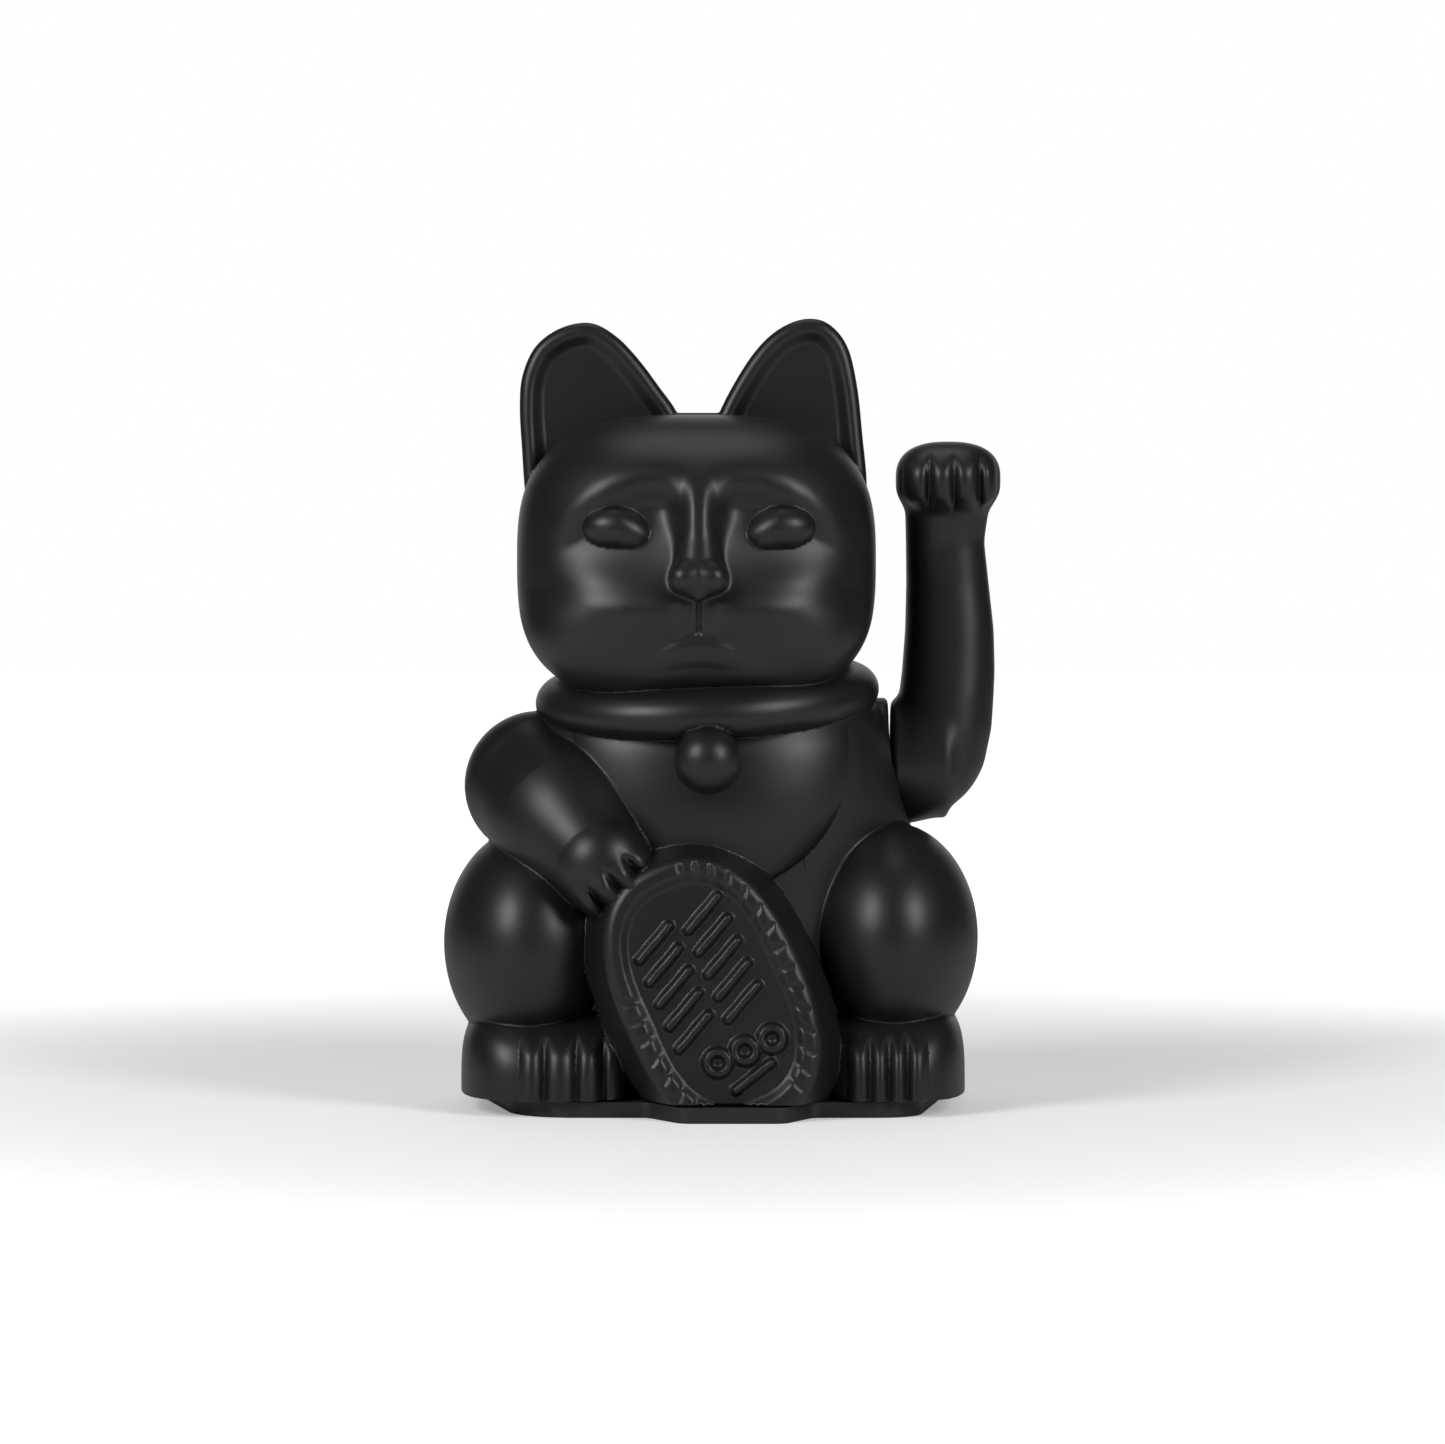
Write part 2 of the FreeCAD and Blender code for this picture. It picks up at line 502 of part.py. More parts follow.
def board():
    """The circuit board with its parts on the face that looks to -X."""
    face = "cheek_left_x - board_thick"
    plate = box("board_plate", (face, "cheek_left_x"), ("pivot_y - board_half", "pivot_y + board_half"),
                ("board_low_z", "board_high_z"))
    holes = [rod(f"board_hole_{i}", (f"{face} - 1", "pivot_y", z), "board_screw_r + hole_gap",
                 "board_thick + 1.9", "x") for i, z in enumerate(BOARD_SPOTS)]
    node(cut("board", plate, *holes), "circuit_board")
    can = rod("can", (f"{face} - capacitor_long", "pivot_y + 4.6", "board_low_z + 13"), "capacitor_r",
              "capacitor_long", "x")
    node(can, "capacitor")
    half_wide = "transistor_wide / 2"
    round_back = rod("transistor_round", (f"{face} - 2.4", "pivot_y - 4.6", "board_high_z - 9"), half_wide,
                     "transistor_wide")
    keep = box("transistor_keep", (f"{face} - 5", f"{face}"), ("pivot_y - 8", "pivot_y"),
               ("board_high_z - 10", "board_high_z - 2"))
    node(common("transistor_body", round_back, keep), "drive_transistor")
    bodies = [rod(f"resistor_{i}", (f"{face} - resistor_r", f"pivot_y - {5.8 - 2.6 * i:.1f}", "board_low_z + 4"),
                  "resistor_r", "resistor_long") for i in range(2)]
    node(group("resistor_pair", *bodies), "resistors")


# ---------------------------------------------------------------- base plate, door, cell and contacts

BACK_SPOTS = ("side", "quarter", "tail", "back")


def base_plate():
    """The plate that closes the body underneath, with the battery tray and the pads for the drive bracket."""
    body = doc.addObject("PartDesign::Body", "base_body")
    corners = [(("lobe_left_top", "lobe_front_y"), "lobe_round"),
               (("lobe_right_top", "lobe_front_y"), "lobe_round"),
               (("lobe_right_x", "base_front_y"), "lobe_round"),
               (("base_front_right", "base_front_y"), "base_right_round")]
    corners += [((f"base_{spot}_x", f"base_{spot}_y"), "base_back_round") for spot in BACK_SPOTS]
    corners += [((f"-base_{spot}_x", f"base_{spot}_y"), "base_back_round") for spot in reversed(BACK_SPOTS)]
    corners += [(("base_front_left", "base_front_y"), "base_left_round"),
                (("lobe_left_x", "base_front_y"), "lobe_round")]
    outline = polygon(body, "base_outline", "XY_Plane", [corner for corner, _ in corners])
    step(body, "Pad", "base_slab", outline, "base_thick")
    for radius in dict.fromkeys(radius for _, radius in corners):
        spots = [tuple(map(number, corner)) for corner, size in corners if size == radius]
        rounded(body, radius + "_corners", radius, upright_at(spots))
    tray = rectangle(("cell_x - tray_half", "cell_x + tray_half"), ("tray_front_y", "tray_back_y"))
    step(body, "Pad", "tray_block", polygon(body, "tray_outline", "XY_Plane", tray, "base_thick"),
         "tray_top_z - base_thick")
    pads = circles(body, "pad_circles", "XY_Plane", BRACKET_SPOTS, "boss_r", "base_thick")
    step(body, "Pad", "bracket_pads", pads, "bracket_z - base_thick")
    well = rectangle(("cell_x - tray_half + tray_wall", "cell_x + tray_half - tray_wall"),
                     ("tray_front_y + tray_wall", "tray_back_y - tray_wall"))
    step(body, "Pocket", "battery_well", polygon(body, "well_outline", "XY_Plane", well),
         "tray_top_z - tray_wall", True)
    channel = rectangle(("cell_x - door_half - door_gap", "cell_x + door_half + door_gap"),
                        ("door_front_y - door_gap", "base_back_y + 5"))
    step(body, "Pocket", "door_channel", polygon(body, "channel_outline", "XY_Plane", channel),
         "door_top_z + door_gap", True)
    slot = rectangle(("cell_x - door_half - door_lip - door_gap", "cell_x + door_half + door_lip + door_gap"),
                     ("door_front_y - door_gap", "base_back_y + 5"))
    step(body, "Pocket", "door_rails",
         polygon(body, "rail_outline", "XY_Plane", slot, "door_lip_z - door_gap"),
         "door_top_z - door_lip_z + 2 * door_gap", True)
    spots = [(f"{sign}boss_{end}_x", f"boss_{end}_y") for sign, end in SCREW_SPOTS]
    step(body, "Pocket", "screw_holes",
         circles(body, "screw_circles", "XY_Plane", spots, "screw_r + hole_gap"),
         "base_thick", True)
    step(body, "Pocket", "screw_seats",
         circles(body, "seat_circles", "XY_Plane", spots, "screw_head_r + 0.3"),
         "screw_head_high + 0.2", True)
    step(body, "Pocket", "pad_pilots", circles(body, "pilot_circles", "XY_Plane", BRACKET_SPOTS, "screw_r", "1.4"),
         "bracket_z - 1.4", True)
    window = rectangle(("switch_x - switch_knob / 2 - switch_window", "switch_x + switch_knob / 2 + switch_window"),
                       ("switch_y - switch_knob / 2 - switch_window",
                        "switch_y + switch_knob / 2 + switch_travel + switch_window"))
    step(body, "Pocket", "switch_opening", polygon(body, "window_outline", "XY_Plane", window), "base_thick", True)
    tabs = [rectangle(("cell_x - 2", "cell_x + 2"), (f"tray_{end}_y {first}", f"tray_{end}_y {last}"))
            for end, first, last in (("front", "+ tray_wall - 0.01", "+ tray_wall + 1"),
                                     ("back", "- tray_wall - 1", "- tray_wall + 0.01"))]
    for end, tab in zip(("front", "back"), tabs):
        step(body, "Pocket", f"{end}_tab_slot",
             polygon(body, f"{end}_tab_outline", "XY_Plane", tab, "tray_top_z - tray_wall - 0.1"),
             "tray_wall + 1", True)
    node(body, "base_plate")


def battery_door():
    """The sliding door: a lip on each side runs in the rails, and the grip lines are at its front end."""
    low, high = "door_rise", "door_top_z"
    y = ("door_front_y", "base_back_y")
    panel = box("door_panel", ("cell_x - door_half", "cell_x + door_half"), y, (low, high))
    lips = box("door_lips", ("cell_x - door_half - door_lip", "cell_x + door_half + door_lip"), y,
               ("door_lip_z + 0.05", high))
    grips = [box(f"grip_{i}", ("cell_x - 5", "cell_x + 5"),
                 (f"door_front_y + 4 + {i} * grip_pitch", f"door_front_y + 4.8 + {i} * grip_pitch"),
                 ("0", f"{low} + grip_depth")) for i in range(5)]
    curve = add("Part::Ellipse", "door_end", ("0", "seam_y", "0"), MajorRadius="door_end_x",
                MinorRadius="door_end_y")
    inside = add("Part::Extrusion", "door_end_prism", LengthFwd="door_top_z")
    inside.Base, inside.Dir, inside.DirMode, inside.Solid = curve, Vector(0, 0, 1), "Custom", True
    node(common("door", cut("door_blank", fuse("door_solid", panel, lips), *grips), inside), "battery_door")


def cell_and_contacts():
    """A size AA cell, the sprung contact at its flat end and the plate at its button end."""
    back = "cell_front_y + cell_length"
    can = rod("cell_can", ("cell_x", "cell_front_y", "cell_z"), "cell_r", "cell_length - 1.5", "y")
    button = rod("cell_button", ("cell_x", f"{back} - 1.5", "cell_z"), "2.7", "1.5", "y")
    node(fuse("cell", can, button), "battery_cell")

    wall_y = "tray_back_y - tray_wall"
    plate = box("plus_plate", ("cell_x - 5", "cell_x + 5"), (f"{wall_y} - 0.5", wall_y),
                ("cell_z - 4.5", "tray_top_z - tray_wall - 0.5"))
    tab = box("plus_tab", ("cell_x - 1.4", "cell_x + 1.4"), (f"{wall_y} - 0.5", wall_y),
              ("tray_top_z - tray_wall - 1", "tray_top_z + 2.4"))
    node(fuse("plus_contact", plate, tab), "positive_contact")

    front = "tray_front_y + tray_wall"
    backing = box("minus_plate", ("cell_x - 5", "cell_x + 5"), (front, f"{front} + 0.5"),
                  ("cell_z - 5", "tray_top_z - tray_wall - 0.5"))
    tab = box("minus_tab", ("cell_x - 1.4", "cell_x + 1.4"), (front, f"{front} + 0.5"),
              ("tray_top_z - tray_wall - 1", "tray_top_z + 2.4"))
    node(fuse("minus_contact", backing, tab), "negative_contact")

    start_y = number(f"{front} + 0.5 + spring_wire_r")
    length = number("cell_front_y - spring_wire_r") - start_y
    spring = fuse("spring", *spring_rings(length))
    spring.Placement = Placement(Vector(number("cell_x"), start_y, number("cell_z")),
                                 Rotation(Vector(1, 0, 0), -90))
    node(spring, "contact_spring")


def spring_rings(length):
    """Half rings that narrow along Z. Each is tilted so that it starts where the one before it ends."""
    large, small = number("spring_large_r"), number("spring_small_r")
    count = int(2 * number("spring_turns"))
    rings, start = [], Vector(large, 0, 0)
    for i in range(count):
        side = (-1) ** i
        done = (i + 1) / count
        end = Vector(-side * (large + (small - large) * done), 0, length * done)
        middle = (start + end) * 0.5
        out, across = (start - middle).normalize(), Vector(0, side, 0)
        up = out.cross(across)
        ring = add("Part::Torus", f"spring_ring_{i}", Radius2="spring_wire_r", Angle3="180")
        ring.Radius1 = (end - start).Length / 2
        ring.Placement = Placement(FreeCAD.Matrix(out.x, across.x, up.x, middle.x, out.y, across.y, up.y, middle.y,
                                                  out.z, across.z, up.z, middle.z, 0, 0, 0, 1))
        rings.append(ring)
        start = end
    return rings


def power_switch():
    """A slide switch over its opening in the plate, with the knob short of the face that the cat rests on."""
    floor = "base_thick"
    shell = box("switch_shell", ("switch_x - switch_wide / 2 - 0.6", "switch_x + switch_wide / 2 + 0.6"),
                ("switch_y + switch_travel / 2 - switch_long / 2", "switch_y + switch_travel / 2 + switch_long / 2"),
                (floor, f"{floor} + switch_high"))
    room = box("switch_room", ("switch_x - switch_wide / 2", "switch_x + switch_wide / 2"),
               ("switch_y - 2.4", "switch_y + switch_travel + 2.4"), (floor, f"{floor} + 1.6"))
    node(cut("switch_case", shell, room), "switch_housing")
    knob = box("switch_stem", ("switch_x - switch_knob / 2", "switch_x + switch_knob / 2"),
               ("switch_y - switch_knob / 2", "switch_y + switch_knob / 2"), ("0.6", f"{floor} + 0.8"))
    shoe = box("switch_shoe", ("switch_x - switch_wide / 2 + 0.2", "switch_x + switch_wide / 2 - 0.2"),
               ("switch_y - 2.1", "switch_y + 2.1"), (f"{floor} + 0.15", f"{floor} + 1.3"))
    node(fuse("switch_button", knob, shoe), "switch_slider")


# ---------------------------------------------------------------- fasteners and leads

def screw(name, at, axis, radius, length, head_r, head_high):
    """A pan-head screw that starts at its head's outer face and runs along an axis. It has a cross slot."""
    direction = Vector(*axis)
    head = add("Part::Cylinder", name + "_head", Radius=head_r, Height=head_high)
    shank = add("Part::Cylinder", name + "_shank", Radius=radius, Height=f"{length} + {head_high}")
    slots = []
    for i in range(2):
        slot = add("Part::Box", f"{name}_slot_{i}", Length=f"{head_r} * 1.1", Width="0.5",
                   Height=f"{head_high} * 0.5")
        offset = Vector(-number(head_r) * 0.55, -0.25, 0)
        turn = Rotation(Vector(0, 0, 1), 90 * i)
        slot.Placement = Placement(turn.multVec(offset), turn)
        slots.append(slot)
    made = cut(name, fuse(name + "_solid", head, shank), *slots)
    made.Placement = Placement(Vector(*(number(value) for value in at)), Rotation(Vector(0, 0, 1), direction))
    return made


def screws():
    up, down, to_right = (0, 0, 1), (0, 0, -1), (1, 0, 0)
    base = [screw(f"base_screw_{i}", (f"{sign}boss_{end}_x", f"boss_{end}_y", "0.2"), up, "screw_r",
                  "base_screw_long", "screw_head_r", "screw_head_high")
            for i, (sign, end) in enumerate(SCREW_SPOTS)]
    node(group("base_screw_set", *base), "base_screws")
    top = "bracket_z + bracket_thick + screw_head_high"
    bracket = [screw(f"bracket_screw_{i}", (x, y, top), down, "screw_r", "bracket_screw_long", "screw_head_r",
                     "screw_head_high") for i, (x, y) in enumerate(BRACKET_SPOTS)]
    node(group("bracket_screw_set", *bracket), "bracket_screws")
    face = "cheek_left_x - board_thick - board_screw_head_high"
    small = [screw(f"board_screw_{i}", (face, "pivot_y", z), to_right, "board_screw_r", "board_screw_long",
                   "board_screw_head_r", "board_screw_head_high") for i, z in enumerate(BOARD_SPOTS)]
    node(group("board_screw_set", *small), "board_screws")


def lead(name, label, route):
    """An insulated wire along straight runs with a tangent arc at each corner, as large as the runs allow."""
    points = [Vector(*point) for point in route]
    edges, at = [], points[0]
    for before, corner, after in zip(points, points[1:], points[2:]):
        come, leave = (corner - before), (after - corner)
        reach = 0.45 * min(come.Length, leave.Length)
        first = corner - come.normalize() * reach
        last = corner + leave.normalize() * reach
        half = come.getAngle(leave) / 2
        middle = bend_middle(corner, first, last, half)
        edges += [Part.LineSegment(at, first).toShape(), Part.Arc(first, middle, last).toShape()]
        at = last
    edges.append(Part.LineSegment(at, points[-1]).toShape())
    path = Part.Wire(edges)
    start = points[1] - points[0]
    profile = Part.Wire(Part.makeCircle(number("lead_r"), points[0], start))
    made = doc.addObject("Part::Feature", name)
    made.Shape = path.makePipeShell([profile], True, False)
    expected = path.Length * math.pi * number("lead_r") ** 2
    print(f"{label}: {path.Length:.1f} mm long, volume {made.Shape.Volume:.1f} of {expected:.1f} mm3")
    node(made, label)


def bend_middle(corner, first, last, half):
    """The middle of the arc that is tangent to both runs: its sagitta lies on the line to the corner."""
    chord_middle = (first + last) * 0.5
    to_corner = corner - chord_middle
    radius = (last - first).Length / 2 / math.sin(half)
    return chord_middle + to_corner.normalize() * (radius * (1 - math.cos(half)))


def leads():
    """The red lead comes from the plate at the cell's button end, the black one from the sprung end."""
    tab_z = number("tray_top_z + 2")
    back = number("tray_back_y - tray_wall") - 0.5 - number("lead_r")
    front = number("tray_front_y + tray_wall") + 0.5 + number("lead_r")
    cell_x, board_x = number("cell_x"), number("cheek_left_x - board_thick")
    lead("lead_red", "red_lead", [(cell_x, back, tab_z), (cell_x, back - 4, tab_z + 5), (cell_x + 5, 19, tab_z + 8),
                                  (cell_x + 11, 12, tab_z + 4), (board_x, 12, tab_z + 4)])
    lead("lead_black", "black_lead", [(cell_x, front, tab_z), (cell_x, front + 5, tab_z + 5),
                                      (cell_x + 5, -10, tab_z + 8), (cell_x + 11, -2.6, tab_z + 5),
                                      (board_x, -2.6, tab_z + 5)])


# ---------------------------------------------------------------- build, check and write

def check_all():
    for made in doc.Objects:
        if "Invalid" in made.State or "Error" in made.State:
            raise ValueError(f"{made.Name} failed: {made.State}")
    for made in NODES:
        shape = made.Shape
        if shape.isNull() or not shape.isValid() or not shape.Solids:
            raise ValueError(f"{made.Label} has no sound solid")


def write_all():
    os.makedirs("parts", exist_ok=True)
    for made in NODES:
        made.Shape.exportStep(f"parts/{made.Label}.step")
        box_ = made.Shape.BoundBox
        print(f"{made.Label}: {len(made.Shape.Solids)} solid(s), {made.Shape.Volume / 1000:.3f} cm3, "
              f"x {box_.XMin:.1f}..{box_.XMax:.1f} y {box_.YMin:.1f}..{box_.YMax:.1f} "
              f"z {box_.ZMin:.1f}..{box_.ZMax:.1f}")


base_plate()
battery_door()
cell_and_contacts()
power_switch()
drive_bracket()
coil()
board()
swinging_parts()
waving_arm()
screws()
leads()
shells()
doc.recompute()
check_all()
write_all()
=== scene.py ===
"""The beckoning cat's looks: its shells and arm are sculpted as distance fields, and its inner parts keep
their CAD shapes. Sizes here are in millimetres until a mesh is made."""

import json
import math

import bpy
import numpy as np
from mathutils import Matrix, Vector


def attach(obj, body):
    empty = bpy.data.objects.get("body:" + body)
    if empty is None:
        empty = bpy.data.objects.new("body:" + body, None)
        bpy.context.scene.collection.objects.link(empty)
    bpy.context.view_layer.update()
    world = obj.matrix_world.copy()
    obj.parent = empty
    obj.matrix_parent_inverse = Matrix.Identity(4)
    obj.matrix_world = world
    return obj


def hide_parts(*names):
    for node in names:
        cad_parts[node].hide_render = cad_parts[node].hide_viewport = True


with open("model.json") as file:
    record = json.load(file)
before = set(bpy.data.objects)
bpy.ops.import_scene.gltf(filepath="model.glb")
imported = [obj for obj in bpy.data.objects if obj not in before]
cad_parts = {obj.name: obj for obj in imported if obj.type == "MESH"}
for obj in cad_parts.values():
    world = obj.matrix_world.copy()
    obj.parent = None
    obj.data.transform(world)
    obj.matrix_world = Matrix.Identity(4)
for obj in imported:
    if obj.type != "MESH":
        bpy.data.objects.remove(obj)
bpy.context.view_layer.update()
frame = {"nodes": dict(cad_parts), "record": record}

MM = 0.001
SEAM_Y = 5.0            # the shells and the arm halves meet in this plane
FOOT_Z = 3.1            # the shells start here, on top of the base plate
WALL = 2.2
ARM_WALL = 1.5
PIVOT_Y, PIVOT_Z = 5.0, 65.0
RECESS_X, RECESS_R = 34.0, 12.6
PAD_R = 11.9
HUB_R = 11.2
SEAM_GAP = 0.06         # each shell stops this far from the seam plane
ARM_SEAM_GAP = 0.05
CELL = 0.5
TRIANGLES = 190000      # the most in one shell; an arm half has half as many


# ---------------------------------------------------------------- distance fields

def smin(a, b, k):
    """The union of two fields with a fillet of about k."""
    h = np.clip(0.5 + 0.5 * (b - a) / k, 0, 1)
    return b + (a - b) * h - k * h * (1 - h)


def smax(a, b, k):
    return -smin(-a, -b, k)


def ease(low, high, t):
    t = np.clip((t - low) / (high - low), 0, 1)
    return t * t * (3 - 2 * t)


def bump(t, middle, width):
    return np.exp(-((t - middle) / width) ** 2)


def ellipsoid(p, c, r):
    q = (p - np.array(c, "f4")) / np.array(r, "f4")
    k0 = np.sqrt((q * q).sum(1))
    q /= np.array(r, "f4")
    return k0 * (k0 - 1) / np.maximum(np.sqrt((q * q).sum(1)), 1e-5)


def sphere(p, c, r):
    return np.sqrt(((p - np.array(c, "f4")) ** 2).sum(1)) - r


def rounded_form(p, c, r, n, m):
    """A squarish ellipsoid: exponent n in the front view and m from front to back."""
    q = np.abs(p - np.array(c, "f4"))
    far = np.sqrt((q * q).sum(1))
    q /= np.array(r, "f4")
    front = q[:, 0] ** n + q[:, 2] ** n
    g = (front ** (m / n) + q[:, 1] ** m) ** (1 / m)
    return far * (1 - 1 / np.maximum(g, 1e-3))


def rod(p, a, b, ra, rb):
    """A round bar from a to b whose radius goes from ra to rb."""
    a, b = np.array(a, "f4"), np.array(b, "f4")
    along = b - a
    t = np.clip((p - a) @ along / (along @ along), 0, 1)
    d = p - a - t[:, None] * along
    return np.sqrt((d * d).sum(1)) - (ra + (rb - ra) * t)


def chain(p, points, k):
    """Round bars through (x, y, z, radius) points, blended."""
    found = None
    for a, b in zip(points, points[1:]):
        bar = rod(p, a[:3], b[:3], a[3], b[3])
        found = bar if found is None else smin(found, bar, k)
    return found


def torus(p, c, ring, tube, tilt_x, tilt_y):
    """A ring about Z with an oval tube, raised by tilt_x degrees towards +Y and by tilt_y towards +X."""
    q = p - np.array(c, "f4")
    slope_y, slope_x = math.tan(math.radians(tilt_x)), math.tan(math.radians(tilt_y))
    z = q[:, 2] - q[:, 1] * slope_y - q[:, 0] * slope_x
    flat = np.hypot(q[:, 0] / ring[0], q[:, 1] / ring[1])
    off = (flat - 1) * min(ring)
    e = np.hypot(off / tube[0], z / tube[1])
    return (e - 1) * min(tube)


def outline(x, z, points):
    """The signed distance in the XZ plane to a closed polygon."""
    d = np.full(x.shape, 1e9, "f4")
    inside = np.zeros(x.shape, bool)
    for (x0, z0), (x1, z1) in zip(points, points[1:] + points[:1]):
        ex, ez = x1 - x0, z1 - z0
        wx, wz = x - x0, z - z0
        t = np.clip((wx * ex + wz * ez) / (ex * ex + ez * ez), 0, 1)
        d = np.minimum(d, (wx - t * ex) ** 2 + (wz - t * ez) ** 2)
        crosses = (z0 > z) != (z1 > z)
        if z1 != z0:
            inside ^= crosses & (wx < ex * wz / ez)
    return np.where(inside, -1, 1) * np.sqrt(d)


def rounded_curve(points, steps=6):
    """A closed smooth curve through a few points, as a finer polygon."""
    found = []
    n = len(points)
    for i in range(n):
        a, b, c, d = (np.array(points[(i + j - 1) % n], float) for j in range(4))
        for t in np.arange(steps) / steps:
            found.append(tuple(0.5 * (2 * b + (c - a) * t + (2 * a - 5 * b + 4 * c - d) * t ** 2
                                      + (3 * b - a - 3 * c + d) * t ** 3)))
    return found


def plate(flat, across, half, edge):
    """A slab: a flat outline's distance and the distance across it, with edges rounded by `edge`."""
    u, v = flat + edge, np.abs(across) - half + edge
    return np.minimum(np.maximum(u, v), 0) + np.hypot(np.maximum(u, 0), np.maximum(v, 0)) - edge


class Profile:
    """Values against height, smoothed from a few rows that each start with z."""

    def __init__(self, rows, blur=2.0):
        rows = np.array(rows, float)
        self.z = np.arange(rows[0, 0] - 10, rows[-1, 0] + 10, 0.5)
        wide = np.arange(-12, 12.5, 0.5)
        kernel = np.exp(-(wide / blur) ** 2)
        kernel /= kernel.sum()
        self.values = []
        for column in rows.T[1:]:
            line = np.interp(self.z, rows[:, 0], column)
            padded = np.pad(line, len(wide) // 2, mode="edge")
            self.values.append(np.convolve(padded, kernel, mode="valid"))

    def at(self, z):
        return [np.interp(z, self.z, column).astype("f4") for column in self.values]


def lofted(p, profile, low, high, cap, n=2.2):
    """A solid between two heights, whose ends are rounded by cap. Its profile gives, at each height, the centre
    x, half x, centre y and half y of a section."""
    cx, rx, cy, ry = profile.at(p[:, 2])
    g = ((np.abs(p[:, 0] - cx) / rx) ** n + (np.abs(p[:, 1] - cy) / ry) ** n) ** (1 / n)
    side = (g - 1) * np.minimum(rx, ry)
    middle, half = (low + high) / 2, (high - low) / 2
    return plate(side, p[:, 2] - middle, half, cap)


# ---------------------------------------------------------------- head

FACE_X = -2.2           # the middle of the face
EYE_OUT, EYE_Y, EYE_Z = 14.75, -26.4, 109.6
HEAD = ((-2.75, -3.2, 103.4), (34.15, 30.2, 27.6))
LEFT_EAR = rounded_curve([(-35.2, 114), (-36.2, 125), (-36.6, 133), (-36, 139), (-33.4, 144.4), (-28.6, 147.8),
                          (-23, 148.7), (-18.2, 146.2), (-13.9, 141.8), (-10, 136.6), (-6.2, 131), (-3, 122),
                          (-12, 104), (-32, 104)])
RIGHT_EAR = rounded_curve([(29.8, 116), (29, 127), (27.9, 137), (26, 144.4), (22.4, 148.6), (18.2, 149.5),
                           (13.6, 147.9), (9.4, 144.4), (5.4, 138.8), (1.4, 131.2), (-2, 122), (8, 104),
                           (28, 104)])


def face_relief(x, z):
    """How far the face stands out from the plain form of the head, in the front view."""
    a = np.abs(x - FACE_X)
    brow = np.interp(a, [0, 5, 10.5, 16, 20, 24, 28, 34], [118.8, 118.4, 117.8, 116.2, 114, 110.5, 106, 98])
    under = brow - z
    # the brow is a soft ridge above a sharper drop, and the socket is deepest beside the nose
    h = 0.9 * np.where(under > 0, bump(under, 0, 4.5), bump(under, 0, 10)) * ease(1, 9, a) * ease(31, 15, a)
    orbit = np.hypot((a - 12) / 14, (z - 110) / 11)
    inner = ease(0.6, 3.4, a)
    socket = ease(-4.0, 5.5, under) * ease(1.5, 0.2, orbit)
    h -= (3.0 * socket + 1.5 * bump(a, 8.0, 5.0) * bump(z, 113.2, 5.0)) * inner
    # cheek and muzzle
    h += 1.5 * bump(a, 19, 9) * bump(z, 97, 7)
    h += 1.0 * bump(a, 11, 6) * bump(z, 94.5, 5.0)
    h += 1.0 * bump(a, 5.6, 4.0) * bump(z, 93.8, 4.0)
    # philtrum, mouth and lower lip
    h -= 0.6 * bump(a, 0, 0.45) * ease(89.2, 90.4, z) * ease(96.8, 95.6, z)
    mouth = 89.4 - 2.0 * (a / 8.4) ** 1.5
    h -= 0.3 * bump(z, mouth, 1.1) * ease(9.6, 5.4, a)
    h -= 0.4 * bump(a, 8.8, 3.4) * bump(z, 87.0, 3.0)
    lens = (a / 8.0) ** 2.2 + ((z - mouth + 2.4) / 2.7) ** 2
    h += 0.55 * ease(1.7, 0.0, lens)
    return h


# Each row: z, the y of the bridge's front, its half width.
NOSE = Profile([(92, -35.0, 4.6), (98, -37.0, 4.9), (101, -38.3, 5.0), (104, -36.9, 4.3), (108, -35.0, 3.8),
                (113, -33.2, 4.0), (117.5, -30.6, 5.2), (122, -26.0, 7.0), (125, -21.5, 8.0),
                (128, -15.0, 9.0), (131, -8.0, 9.0)], 1.6)


def nose(p):
    """A bridge that widens upwards, and a round tip cut to a V underneath."""
    x, y, z = p.T
    a = np.abs(x - FACE_X)
    front, half = NOSE.at(z)
    deep, n = 6, 2.2
    across = a / half
    along = np.abs(y - front - deep) / deep
    ridge = ((across ** n + along ** n) ** (1 / n) - 1) * 3.9
    ridge = smax(ridge, (95.9 + 0.55 * a - z) * 0.88, 0.9)
    wing = ellipsoid(np.stack([a - 2.7, y + 35.0, z - 100.3], 1), (0, 0, 0), (2.9, 3.5, 2.9))
    return smin(ridge, wing, 1.4)


def eye(p, side):
    """A smooth almond of an eyeball, its inner corner a little lower."""
    turn = math.radians(-1)
    dx, dz = (p[:, 0] - (FACE_X + side * EYE_OUT)) * side, p[:, 2] - EYE_Z
    u = dx * math.cos(turn) - dz * math.sin(turn)
    v = dx * math.sin(turn) + dz * math.cos(turn)
    q = np.stack([u, p[:, 1] - EYE_Y, v + 0.3 * np.clip(-u, 0, 8)], 1)
    return rounded_form(q, (0, 0, 0), (6.9, 5.4, 4.45), 2.0, 2.0)


def ear(p, points):
    """An ear: a thick slab with a rounded rim, whose front sinks away smoothly inside the rim."""
    x, y, z = p.T
    flat = outline(x, z, points)
    half = np.interp(z, [108, 149], [6.2, 4.2]).astype("f4")
    slab = plate(flat, y - SEAM_Y, half, 2.2)
    depth = np.interp(z, [112, 130, 148], [3.0, 2.5, 1.6]).astype("f4")
    sunk = SEAM_Y - half + depth * ease(1.5, 5.0, -flat)
    return smax(slab, (sunk - y) * 0.8, 0.7)


